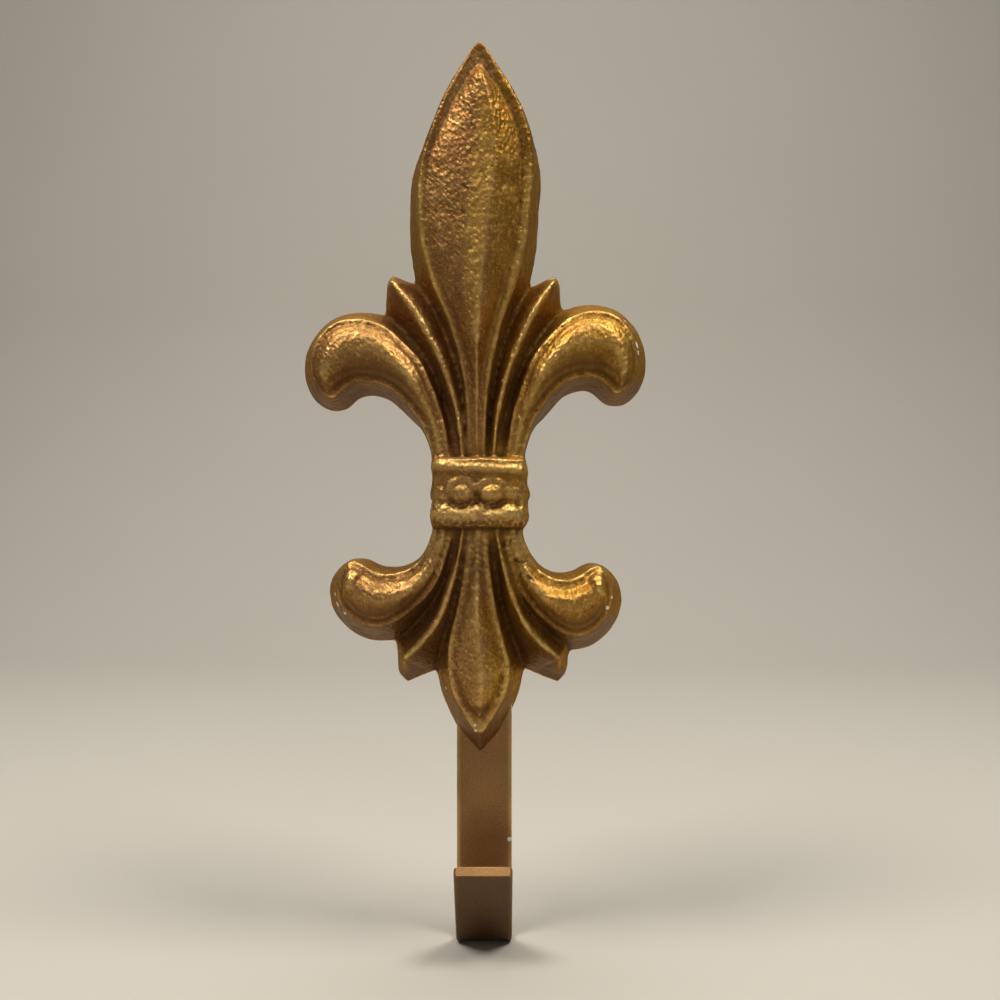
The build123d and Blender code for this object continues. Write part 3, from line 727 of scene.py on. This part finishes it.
def ranged(tree, value, low, high, to_low=0.0, to_high=1.0):
    """A value taken from one range to another, smoothly and not beyond it."""
    return add_node(tree, "ShaderNodeMapRange", {
        "Value": value, "From Min": low, "From Max": high, "To Min": to_low, "To Max": to_high,
    }, interpolation_type="SMOOTHSTEP").outputs[0]


def maths(tree, operation, first, second=0.0):
    """Arithmetic on two values."""
    return add_node(tree, "ShaderNodeMath", {0: first, 1: second}, operation=operation).outputs[0]


def mixed(tree, share, first, second):
    """Two colours mixed."""
    first, second = (c if isinstance(c, bpy.types.NodeSocket) else (*c, 1.0) for c in (first, second))
    values = {0: share, 6: first, 7: second}
    return add_node(tree, "ShaderNodeMix", values, data_type="RGBA", clamp_factor=True).outputs[2]


def layered(tree, base, layers):
    """Colours laid over a base one after the other, each with its share."""
    for share, colour in layers:
        base = mixed(tree, share, base, colour)
    return base


def own(tree, name):
    """A number that the mesh keeps per vertex."""
    return add_node(tree, "ShaderNodeAttribute", attribute_name=name).outputs["Fac"]


def bumped(tree, height, strength, distance, normal=None):
    """A bump of a height, on top of another one."""
    values = {"Height": height, "Strength": strength, "Distance": distance}
    if normal:
        values["Normal"] = normal
    return add_node(tree, "ShaderNodeBump", values).outputs[0]


def gold_paint():
    """Gold paint chipped to white: painted shade in hollows and underneath, painted highlights on the keel,
    rims and partly rubbed edges, and each half's painted light.
    """
    material, tree, shader = new_material("rubbed gold paint")
    even = placed(tree)
    blotch = grain(tree, even, 75, 4)
    patch = grain(tree, even, 190, 3)
    dust = grain(tree, even, 1700, 3)
    # Which side of the middle a point lies on, blended softly: it turns the wrinkles and sets each half's
    # painted light.
    side = add_node(tree, "ShaderNodeSeparateXYZ", {"Vector": even}).outputs["X"]
    side = maths(tree, "ADD", side, maths(tree, "MULTIPLY", maths(tree, "SUBTRACT", patch, 0.5), 0.02))
    side = ranged(tree, side, 0.0, 0.006)
    left = grain(tree, placed(tree, (0, -42, 0), (0.0009, 0.002, 0.0026)), 1.0, 2, 0.4)
    right = grain(tree, placed(tree, (0, 12, 0), (0.001, 0.002, 0.0024)), 1.0, 2, 0.4)
    wrinkles = add_node(tree, "ShaderNodeMix", {0: side, 2: left, 3: right}, data_type="FLOAT").outputs[0]
    crevice, under, wear_and_highlight_mask = (own(tree, name) for name in ("crevice", "under", "worn_edge"))
    # Painted shade in the hollows, patchy.
    shaded = maths(tree, "MULTIPLY", crevice, ranged(tree, patch, 0.25, 0.6, 0.95, 0.75))
    # Patches that break up the painted highlights and the rubbed edges.
    rubbed = ranged(tree, grain(tree, even, 480, 3), 0.35, 0.6, 0.35, 0.95)
    nick = maths(tree, "MULTIPLY", own(tree, "nick"), 0.8)
    ragged = maths(tree, "ADD", own(tree, "chip"), maths(tree, "MULTIPLY", grain(tree, even, 1400, 3), 0.9))
    chip = ranged(tree, ragged, 1.1, 1.2)

    # Painted light: browner on the left half and olive on the right, for the two halves' different light.
    brown = mixed(tree, ranged(tree, blotch, 0.36, 0.64), (0.33, 0.155, 0.055), (0.37, 0.19, 0.065))
    olive = mixed(tree, ranged(tree, blotch, 0.36, 0.64), (0.37, 0.175, 0.025), (0.45, 0.235, 0.035))
    base = layered(tree, mixed(tree, side, brown, olive), (
        # Painted highlight by the top leaf's keel and rims, patchy.
        (maths(tree, "MULTIPLY", own(tree, "band"), rubbed), (0.64, 0.385, 0.08)),
        (ranged(tree, dust, 0.5, 0.7, 0.0, 0.6), (0.72, 0.45, 0.14)),
        (ranged(tree, dust, 0.48, 0.3, 0.0, 0.35), (0.14, 0.06, 0.015)),
        # Painted glints on the wrinkles' crests; their troughs darker.
        (ranged(tree, wrinkles, 0.6, 0.68, 0.0, 0.55), (0.75, 0.48, 0.16)),
        (ranged(tree, wrinkles, 0.38, 0.28, 0.0, 0.5), (0.13, 0.055, 0.013)),
        # Edges lighter, partly rubbed and partly a painted highlight, patchy.
        (maths(tree, "MULTIPLY", wear_and_highlight_mask, rubbed), (0.84, 0.56, 0.2)),
        # Painted shade on the walls and undersides.
        (under, (0.12, 0.054, 0.014)),
        # Painted shade in the hollows.
        (shaded, (0.06, 0.028, 0.009)),
        (nick, (0.03, 0.016, 0.008)),
        (chip, (0.86, 0.83, 0.76)),
    ))

    # Less metal in the painted shade of the hollows and undersides.
    dull = maths(tree, "MAXIMUM", crevice, maths(tree, "MULTIPLY", under, 0.8))
    bright = ranged(tree, dull, 0.2, 0.9, 0.82, 0.25)
    bright = maths(tree, "MULTIPLY", maths(tree, "SUBTRACT", 1.0, chip), bright)
    rough = ranged(tree, patch, 0.3, 0.7, 0.5, 0.38)
    rough = maths(tree, "ADD", rough, maths(tree, "MULTIPLY", maths(tree, "MAXIMUM", chip, crevice), 0.35))
    cells = add_node(tree, "ShaderNodeTexVoronoi", {"Vector": even, "Scale": 620.0, "Smoothness": 0.6},
                     feature="SMOOTH_F1")
    normal = bumped(tree, cells.outputs["Distance"], 0.55, 0.0005)
    normal = bumped(tree, wrinkles, 0.45, 0.0005, normal)
    normal = bumped(tree, dust, 0.5, 0.00016, normal)
    normal = bumped(tree, maths(tree, "MAXIMUM", chip, nick), 0.6, -0.0003, normal)
    set_inputs(tree, shader, {
        "Base Color": base, "Metallic": bright, "Roughness": rough, "Normal": normal,
        "Specular IOR Level": 0.3, "Specular Tint": (0.72, 0.5, 0.22, 1.0),
    })
    return material


def bare_cast():
    """The casting's unpainted back: off-white, a little dusty, with fine pits."""
    material, tree, shader = new_material("bare white casting")
    where = placed(tree)
    cloud = grain(tree, where, 120, 4)
    pits = ranged(tree, grain(tree, where, 1100, 2), 0.62, 0.7)
    smear = ranged(tree, grain(tree, where, 55, 4), 0.57, 0.66, 0.0, 0.7)
    base = mixed(tree, cloud, (0.52, 0.48, 0.41), (0.68, 0.65, 0.58))
    base = layered(tree, base, ((smear, (0.32, 0.2, 0.09)), (pits, (0.3, 0.27, 0.22))))
    set_inputs(tree, shader, {
        "Base Color": base, "Roughness": ranged(tree, cloud, 0.3, 0.7, 0.75, 0.9),
        "Normal": bumped(tree, pits, 0.5, -0.0003),
    })
    return material


def bronze_paint():
    """Brown bronze paint on the bar, finely speckled, with painted shade underneath, edges lighter by rubbing
    and a painted highlight, and a chip.
    """
    material, tree, shader = new_material("bronze painted bar")
    where = placed(tree)
    speckle = grain(tree, where, 2200, 3)
    cloud = grain(tree, where, 70, 3)
    # Lighter edges, partly rubbed and partly a painted highlight, patchy.
    edge = maths(tree, "MULTIPLY", own(tree, "worn_edge"), ranged(tree, cloud, 0.3, 0.6, 0.35, 0.9))
    chip = ranged(tree, maths(tree, "ADD", own(tree, "chip"), maths(tree, "MULTIPLY", cloud, 0.3)), 0.7, 0.8)
    base = mixed(tree, ranged(tree, cloud, 0.35, 0.65), (0.27, 0.135, 0.048), (0.31, 0.165, 0.055))
    base = layered(tree, base, (
        (ranged(tree, speckle, 0.5, 0.7, 0.0, 0.5), (0.46, 0.28, 0.11)),
        (ranged(tree, speckle, 0.48, 0.3, 0.0, 0.5), (0.14, 0.07, 0.025)),
        # Painted shade on the bar's faces that turn down.
        (own(tree, "under"), (0.075, 0.036, 0.014)),
        (edge, (0.7, 0.47, 0.19)),
        (chip, (0.75, 0.72, 0.66)),
    ))
    normal = bumped(tree, grain(tree, where, 240, 2), 0.2, 0.0003)
    set_inputs(tree, shader, {
        "Base Color": base, "Metallic": 0.65, "Roughness": ranged(tree, speckle, 0.3, 0.7, 0.52, 0.38),
        "Normal": bumped(tree, speckle, 0.35, 0.0001, normal),
    })
    return material


def plain_steel():
    """Zinc-grey steel with turning marks for the screws."""
    material, tree, shader = new_material("plain screw steel")
    cloud = grain(tree, placed(tree), 500, 3)
    marks = grain(tree, placed(tree, size=(0.0033, 0.00017, 0.0033)), 1.0, 2)
    base = mixed(tree, cloud, (0.42, 0.42, 0.4), (0.6, 0.6, 0.58))
    base = mixed(tree, ranged(tree, marks, 0.55, 0.7, 0.0, 0.4), base, (0.3, 0.29, 0.27))
    set_inputs(tree, shader, {
        "Base Color": base, "Metallic": 1.0, "Roughness": ranged(tree, cloud, 0.3, 0.7, 0.3, 0.45),
        "Normal": bumped(tree, marks, 0.3, 0.00005),
    })
    return material


def studio_paper():
    """Plain pale paper for the floor and the wall behind."""
    material, tree, shader = new_material("pale studio paper")
    cloud = grain(tree, placed(tree), 3.0, 3)
    base = mixed(tree, cloud, (0.6, 0.58, 0.53), (0.64, 0.62, 0.57))
    set_inputs(tree, shader, {"Base Color": base, "Roughness": 0.85})
    return material


# Pieces

def petal_shells(sizes):
    """Every petal and point of the casting."""
    shells = []
    tops = [(row[2] - row[0]) / 2 for row in TOP_LEAF], [(row[2] - row[0]) / 2 for row in BOTTOM_LEAF]
    shells.append(petal_shell(TOP_LEAF, (18.1 / max(tops[0]), 1), sizes, sizes.leaf_depth, sizes.leaf_crown,
                              (0.45, 0.15), KEEL, (0.0055, 0.0042), LEAF_RIMS, 0.0, 0))
    shells.append(petal_shell(BOTTOM_LEAF, (9.8 / max(tops[1]), 1), sizes, sizes.tail_depth, sizes.tail_crown,
                              (0.6, 0.25), (0.55,), (0.0055, 0.0055), TAIL_RIMS, 0.0, 0))
    rim = (sizes.rim / MM,)
    for rows, reaches, heights, depth, runs, rim_end in (
        (UPPER_SCROLL, (-54.3, 50.85), (56.0, 58.6), sizes.upper_depth, (0.003, 0.0055), 0.86),
        (LOWER_SCROLL, (-45.5, 42.4), (43.0, 46.0), sizes.lower_depth, (0.0012, 0.006), 0.74),
    ):
        far, high = max(row[2] for row in rows), max(abs(row[3]) for row in rows)
        for reach, height in zip(reaches, heights):
            shells.append(petal_shell(rows, (reach / far, height / high), sizes, depth, sizes.scroll_crown,
                                      (0.9, 0.9), (0.5,), runs, (rim, rim), sizes.flute, 90, rim_end))
    for rows, end, reaches, height, depth in (
        (UPPER_POINT, UPPER_POINT_END, (-29.8, 25.4), 74.2, sizes.upper_point_depth),
        (LOWER_POINT, LOWER_POINT_END, (-24.8, 26.4), 64.2, sizes.lower_point_depth),
    ):
        for reach in reaches:
            stretch = reach / end[0][0], height / abs(end[0][1])
            shells.extend(point_shells(rows, end, stretch, depth))
    return shells


def egg_row(sizes, paint):
    """The eggs round the collar, as one helper object."""
    path, way = collar_path(sizes, -0.0006)
    places, facings = [], []
    for at, sink in EGGS:
        i = int(np.argmin(abs(way - at)))
        along = path[i + 1] - path[i - 1]
        out = Vector((along[1], along[0], 0)).normalized()
        if out.dot(Vector((path[i][0], -path[i][1] + 0.014, 0))) < 0:
            out.negate()
        places.append(Vector((path[i][0], -path[i][1], -0.0003)) - sink * out)
        facings.append(out)
    obj = point_object("egg row", places)
    facing = obj.data.attributes.new("facing", "FLOAT_VECTOR", "POINT")
    facing.data.foreach_set("vector", np.array([f[:] for f in facings]).ravel())
    run_nodes(obj, egg_row_nodes(), {"Radius": sizes.egg_radius, "Arch thickness": 0.0007, "Paint": paint})
    return obj


def dented(mesh, sizes, seed):
    """Soft hammer dents and a slight unevenness over the whole relief."""
    points, normals = vertex_array(mesh, "co"), vertex_array(mesh, "normal")
    offset = Vector((seed, 2.0 * seed, 3.0 * seed))
    moved = np.empty(len(points))
    for i, point in enumerate(points):
        place = Vector(point) * 1000
        cell = noise.voronoi(place * 0.3 + offset)[0][0]
        moved[i] = 0.4 * (cell - 0.45) + 0.6 * noise.noise(place * 0.16 + offset)
        if abs(place.x) < COLLAR_REACH and -11 < place.z < -3:
            moved[i] += 1.8 * (noise.voronoi(place * 0.7 + offset)[0][0] - 0.4)
    points = points + normals * (moved * sizes.dents)[:, None]
    mesh.vertices.foreach_set("co", points.ravel())
    mesh.update()


def paint_marks(mesh, thin=0.00016, thick=0.0012):
    """Keeps, per vertex, the painted shade in hollows and underneath, the partly rubbed and partly painted
    edge highlight, the painted keel and rim highlight, and the chips and nicks.
    """
    points, normals, edges = vertex_array(mesh, "co"), vertex_array(mesh, "normal"), edge_array(mesh)
    fine = relaxed(points, edges, 4)
    broad = relaxed(fine, edges, 65)
    small = ((fine - points) * normals).sum(axis=1)
    large = ((broad - points) * normals).sum(axis=1)
    front = points[:, 1] < -0.0008
    # Painted shade on the walls and on faces that turn down, less on ridges that stand out, and near the top
    # leaf's rims towards its tip.
    slope = relaxed(normals, edges, 4)
    walls = np.clip(1 - 1.5 * abs(slope[:, 1]), 0, 1) * np.clip(0.5 - slope[:, 2], 0, 0.7)
    under = np.maximum(np.clip(-2.0 * slope[:, 2] - 0.08, 0, 1), walls)
    flat = points[:, [0, 2]] / MM
    left, height, right = np.array(TOP_LEAF)[:, :3].T
    from_rim = np.minimum(flat[:, 0] - np.interp(flat[:, 1], height, left) + 1.5,
                          np.interp(flat[:, 1], height, right) - flat[:, 0])
    ridge = np.clip(-small / thin, 0, 1)
    under = under * (1 - 0.8 * ridge * np.clip(-points[:, 1] / 0.004 - 1, 0, 1))
    under = np.maximum(under, np.interp(flat[:, 1], (98, 114), (0, 0.5)) * (from_rim < 3.5))
    # Painted shade in the hollows of the relief, from the mesh's fine and broad concavity.
    deep = np.clip(small / thin, 0, 1) * 0.6 + np.clip(large / thick, 0, 1) * 0.5
    # Ridges lighter, partly by real rubbing and partly a painted highlight; less in broad hollows, in the
    # painted shade and towards the top leaf's tip.
    edge_wear_and_highlight = ridge * 0.7 - large / 0.0030 - under
    edge_wear_and_highlight = edge_wear_and_highlight * np.interp(flat[:, 1], (100, 115), (1, 0.15))
    # Painted highlight on the collar's bead tops and the stems beside it, less in hollows and in the painted
    # shade.
    collar = np.interp(flat[:, 1], *COLLAR_HIGHLIGHT)
    collar = collar * (abs(flat[:, 0]) < COLLAR_REACH) * np.clip(1 - 1.5 * deep, 0, 1) - under
    # The painted shade in the hollows, weaker round the collar.
    store(mesh, "crevice", np.where(front, deep * np.interp(abs(flat[:, 1]), (9, 12), (0.5, 1)), 0))
    # Painted shade on the walls and undersides.
    store(mesh, "under", np.where(front, 0.92 * under, 0))
    # Edges lighter, partly by rubbing and partly a painted highlight, and the painted highlight on the
    # collar.
    store(mesh, "worn_edge", np.where(front, np.maximum(edge_wear_and_highlight, collar), 0))
    white, dark = np.zeros(len(points)), np.zeros(len(points))
    for x, z, radius in CHIPS:
        away = np.hypot(flat[:, 0] - x, flat[:, 1] - z) / radius
        middle = np.median(points[front & (away < 1), 1])
        away = np.hypot(away, (points[:, 1] - middle) / (1.8 * radius * MM))
        white = np.maximum(white, np.clip(1.35 - away, 0, 1))
    for x0, z0, x1, z1, width in NICKS:
        along = np.array([x1 - x0, z1 - z0])
        share = np.clip(((flat - (x0, z0)) @ along) / (along @ along), 0, 1)
        away = np.linalg.norm(flat - (x0, z0) - share[:, None] * along, axis=1) / width
        dark = np.maximum(dark, np.clip(1.4 - away, 0, 1))
    facing = np.clip(-normals[:, 1] * 4, 0, 1)
    # A painted highlight by the top leaf's keel, on faces that turn to the front.
    left, right, height = np.array(KEEL_HIGHLIGHT).T
    from_left = flat[:, 0] - np.interp(flat[:, 1], height, left)
    from_right = np.interp(flat[:, 1], height, right) - flat[:, 0]
    band = np.clip(from_left / 3.5, 0, 1) * np.clip(from_right / 0.8, 0, 1)
    band = band * np.clip((flat[:, 1] - 46) / 14, 0, 1)
    # A painted highlight along the top leaf's rims.
    rims = np.clip(np.minimum(from_rim + 0.2, 3.1 - from_rim), 0, 1)
    rims = rims * np.interp(flat[:, 1], (45, 60, 95, 112), (0, 1, 1, 0)) * (abs(flat[:, 0]) < 21)
    store(mesh, "band", np.where(front, np.maximum(0.8 * band, rims) * facing, 0))
    store(mesh, "chip", white)
    store(mesh, "nick", dark * facing)


def smooth_cast(mesh):
    """Smooths the steps of the mesh cells and sharpens the relief again; the walls are only smoothed."""
    edges = edge_array(mesh)
    soft = relaxed(vertex_array(mesh, "co"), edges, 4)
    points = soft + 0.7 * (soft - relaxed(soft, edges, 4))
    slope = relaxed(vertex_array(mesh, "normal"), edges, 3)
    wall = np.clip((0.5 - abs(slope[:, 1:2])) / 0.25, 0, 1)
    points = points + wall * (relaxed(soft, edges, 14) - points)
    mesh.vertices.foreach_set("co", points.ravel())
    mesh.update()


def make_casting(scene, hole_depth=0.0143, pocket_margin=0.0015, pocket_depth=0.006):
    """The fleur-de-lis casting as one closed piece."""
    sizes, bar, screw = scene.hook_casting, scene.hook_bar, scene.hook_screws
    paint, bare = gold_paint(), bare_cast()
    filling = hull([
        (side * wide, -deep, up * end)
        for side in (-1, 1) for up in (-1, 1) for end, wide, deep in FILLING
    ])
    piece = new_object("painted_casting", paint, *petal_shells(sizes), collar_shell(sizes), filling)
    eggs = egg_row(sizes, paint)
    joined = bmesh.new()
    joined.from_mesh(piece.data)
    joined.from_mesh(eggs.data)
    joined.to_mesh(piece.data)
    joined.free()
    drop(eggs)
    remesh = piece.modifiers.new("cast", "REMESH")
    remesh.mode = "VOXEL"
    remesh.voxel_size = sizes.grain
    bake(piece)
    smooth_cast(piece.data)
    dented(piece.data, sizes, scene.hook_studio.seed)
    gap = bar.clearance
    cut(piece, box_shell((-0.2, 0.0, -0.3), (0.2, 0.05, 0.3)), bare)
    cut(piece, prism_shell(rounded_end(bar, gap), OVERLAP, -bar.thickness - gap), bare)
    pocket = keyhole_outline(bar, pocket_margin)
    cut(piece, prism_shell(pocket, OVERLAP, -bar.thickness - pocket_depth), bare)
    radius = screw.shank + gap
    hole = ((0.0, 0.0), (radius, 0.0), (radius, hole_depth), (0.0, hole_depth))
    for height in (screw.upper, screw.lower):
        cut(piece, lathe_shell(hole, (bar.shift, height)), bare)
    paint_marks(piece.data)
    for face in piece.data.polygons:
        face.use_smooth = piece.data.materials[face.material_index] == paint
    return piece


def make_bar(scene, step=0.0006, top_corner=0.004, lip_corner=0.0007):
    """The flat bar, bent up into the hook."""
    bar, screw = scene.hook_bar, scene.hook_screws
    paint = bronze_paint()
    middle = bar.bend + bar.thickness / 2
    centre = Vector((bar.shift, -bar.bend - bar.thickness, -bar.drop + bar.bend + bar.thickness))
    points = [Vector((bar.shift, -bar.thickness / 2, bar.top))]
    for turn in np.linspace(0, pi - bar.lean, 40):
        points.append(centre + Vector((0, middle * cos(turn), -middle * sin(turn))))
    points.append(points[-1] + bar.lip * Vector((0, -sin(bar.lean), cos(bar.lean))))
    piece = point_object("bent_bar", points, [(i, i + 1) for i in range(len(points) - 1)])
    run_nodes(piece, bent_bar_nodes(), {
        "Width": bar.width, "Thickness": bar.thickness, "Edge radius": bar.edge, "Step": step, "Paint": paint,
    })
    mesh = piece.data
    points = vertex_array(mesh, "co")
    way = np.empty(len(points))
    mesh.attributes["way"].data.foreach_get("value", way)
    mesh.attributes.remove(mesh.attributes["way"])
    half = bar.width / 2
    for end, corner in ((way, top_corner), (way.max() - way, lip_corner)):
        short = np.clip(corner - end, 0, corner)
        narrow = half - corner + np.sqrt(np.maximum(0, corner ** 2 - short ** 2))
        side = points[:, 0] - bar.shift
        points[:, 0] = np.where(short > 0, bar.shift + side * narrow / half, points[:, 0])
    mesh.vertices.foreach_set("co", points.ravel())
    weld(mesh)
    cut(piece, prism_shell(keyhole_outline(bar, 0), OVERLAP, -bar.thickness - OVERLAP), paint)
    for height in (screw.upper, screw.lower):
        cut(piece, lathe_shell(screw_profile(screw, 0.0, bar.clearance), (bar.shift, height)), paint)
    mesh = piece.data
    points, normals = vertex_array(mesh, "co"), vertex_array(mesh, "normal")
    # Edges lighter, partly by rubbing and partly a painted highlight, with a painted highlight on faces that
    # turn up.
    side = half - abs(points[:, 0] - bar.shift)
    edge = np.clip(1 - side / 0.0016, 0, 1) * np.where(points[:, 1] < -bar.thickness - 0.001, 0.1, 0.8)
    end = np.clip((normals[:, 2] - 0.5) * 2, 0, 1) * np.interp(side, (0.001, 0.004), (0.15, 0.9))
    store(mesh, "worn_edge", np.maximum(edge, end))
    # Painted shade on the faces that turn down.
    store(mesh, "under", np.clip(-1.4 * normals[:, 2], 0, 0.8))
    speck = np.hypot(points[:, 0] - 0.0099, points[:, 2] + 0.1165) / 0.0012
    store(mesh, "chip", np.where(normals[:, 1] < 0, np.clip(1.3 - speck, 0, 1), 0))
    mesh.shade_smooth()
    mesh.set_sharp_from_angle(angle=radians(38))
    return piece


def make_screws(scene):
    """The two slotted countersunk screws."""
    bar, screw = scene.hook_bar, scene.hook_screws
    steel = plain_steel()
    one = new_object("one screw", steel, lathe_shell(screw_profile(screw, screw.sink, 0.0), (0, 0), 56))
    slot = screw.slot / 2
    cut(one, box_shell((-0.005, -screw.sink - screw.slot, -slot), (0.005, 0.002, slot)), steel)
    piece = point_object("bar_screws", [(bar.shift, 0, height) for height in (screw.upper, screw.lower)])
    run_nodes(piece, screw_pair_nodes(), {"Screw": one, "Steel": steel})
    drop(one)
    piece.data.shade_smooth()
    piece.data.set_sharp_from_angle(angle=radians(30))
    return piece


def soft_light(name, place, target, size, power, warm):
    """A square soft light that shines from a place to a target."""
    light = bpy.data.lights.new(name, "AREA")
    light.shape, light.size, light.energy, light.color = "SQUARE", size, power, warm
    obj = linked(name, light)
    obj.location = place
    obj.rotation_euler = (Vector(target) - Vector(place)).to_track_quat("-Z", "Y").to_euler()


def make_studio(scene):
    """A pale floor that curves up behind, soft lights overhead and the camera in front."""
    studio, bar = scene.hook_studio, scene.hook_bar
    floor, back, curve = -bar.drop - 0.0002, 0.95, 0.4
    outline = [(-2.2, floor)] + [
        (back - curve + curve * sin(a), floor + curve - curve * cos(a)) for a in np.linspace(0, pi / 2, 25)
    ] + [(back, 2.2)]
    points = [(x, y, z) for y, z in outline for x in (-2.6, 2.6)]
    faces = [(2 * i, 2 * i + 1, 2 * i + 3, 2 * i + 2) for i in range(len(outline) - 1)]
    sweep = bpy.data.meshes.new("studio_sweep")
    sweep.from_pydata(points, [], faces)
    sweep.materials.append(studio_paper())
    sweep.shade_smooth()
    paper = linked("studio_sweep", sweep)
    warm = (1.0, 0.93, 0.82)
    soft_light("left overhead light", (-0.40, -0.24, 0.80), (0, 0, 0), 0.30, studio.key, warm)
    soft_light("right overhead light", (0.42, -0.20, 0.80), (0, 0, 0), 0.30, studio.key, warm)
    soft_light("front fill", (0.1, -1.2, 0.15), (0, 0, 0), 0.9, studio.fill, (1.0, 0.97, 0.92))
    soft_light("backdrop light", (0.0, 0.3, 1.9), (0, 0.9, 0.1), 1.0, studio.backdrop, (1.0, 0.97, 0.93))
    world = bpy.data.worlds.new("even surrounding")
    world.use_nodes = True
    sky = world.node_tree.nodes["Background"]
    sky.inputs["Color"].default_value = (1.0, 0.97, 0.93, 1.0)
    sky.inputs["Strength"].default_value = studio.sky
    scene.world = world
    camera = bpy.data.cameras.new("front camera")
    camera.lens, camera.sensor_width = studio.lens, 36.0
    camera.clip_start = 0.01
    obj = linked("front camera", camera)
    obj.location = (0.0067, -studio.distance, -0.0023)
    obj.rotation_euler = (pi / 2, 0, 0)
    scene.camera = obj
    scene.view_settings.view_transform = "Standard"


class WALLHOOK_OT_casting(bpy.types.Operator):
    """Makes the gold painted fleur-de-lis casting"""
    bl_idname = "wall_hook.casting"
    bl_label = "Fleur-de-lis casting"

    def execute(self, context):
        piece = make_casting(context.scene)
        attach(piece, "root")
        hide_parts("fleur_casting")
        return {"FINISHED"}


class WALLHOOK_OT_bar(bpy.types.Operator):
    """Makes the flat bar that is bent up into the hook"""
    bl_idname = "wall_hook.bar"
    bl_label = "Bar and hook"

    def execute(self, context):
        piece = make_bar(context.scene)
        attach(piece, "root")
        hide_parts("strap_hook")
        return {"FINISHED"}


class WALLHOOK_OT_screws(bpy.types.Operator):
    """Makes the two screws that hold the bar"""
    bl_idname = "wall_hook.screws"
    bl_label = "Screws"

    def execute(self, context):
        piece = make_screws(context.scene)
        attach(piece, "root")
        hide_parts("strap_screws")
        return {"FINISHED"}


class WALLHOOK_OT_studio(bpy.types.Operator):
    """Makes the pale floor, the soft lights and the camera"""
    bl_idname = "wall_hook.studio"
    bl_label = "Studio"

    def execute(self, context):
        make_studio(context.scene)
        return {"FINISHED"}


class WALLHOOK_PT_panel(bpy.types.Panel):
    """Lists the pieces of the wall hook"""
    bl_idname = "WALLHOOK_PT_panel"
    bl_label = "Wall hook"
    bl_space_type = "VIEW_3D"
    bl_region_type = "UI"
    bl_category = "Wall hook"

    def draw(self, context):
        for operator, settings in (
            (WALLHOOK_OT_casting, context.scene.hook_casting),
            (WALLHOOK_OT_bar, context.scene.hook_bar),
            (WALLHOOK_OT_screws, context.scene.hook_screws),
            (WALLHOOK_OT_studio, context.scene.hook_studio),
        ):
            box = self.layout.box()
            box.operator(operator.bl_idname)
            for name in settings.bl_rna.properties.keys():
                if name not in ("rna_type", "name"):
                    box.prop(settings, name)


GROUPS = {
    "hook_casting": CastingSizes, "hook_bar": BarSizes, "hook_screws": ScrewSizes,
    "hook_studio": StudioSettings,
}
CLASSES = (
    *GROUPS.values(), WALLHOOK_OT_casting, WALLHOOK_OT_bar, WALLHOOK_OT_screws, WALLHOOK_OT_studio,
    WALLHOOK_PT_panel,
)


def register():
    for each in CLASSES:
        bpy.utils.register_class(each)
    for name, group in GROUPS.items():
        setattr(bpy.types.Scene, name, PointerProperty(type=group))


def unregister():
    for name in GROUPS:
        delattr(bpy.types.Scene, name)
    for each in reversed(CLASSES):
        bpy.utils.unregister_class(each)


def main():
    """Makes every piece and the studio."""
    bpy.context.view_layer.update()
    register()
    bpy.ops.wall_hook.casting()
    bpy.ops.wall_hook.bar()
    bpy.ops.wall_hook.screws()
    bpy.ops.wall_hook.studio()


if __name__ == "__main__":
    main()
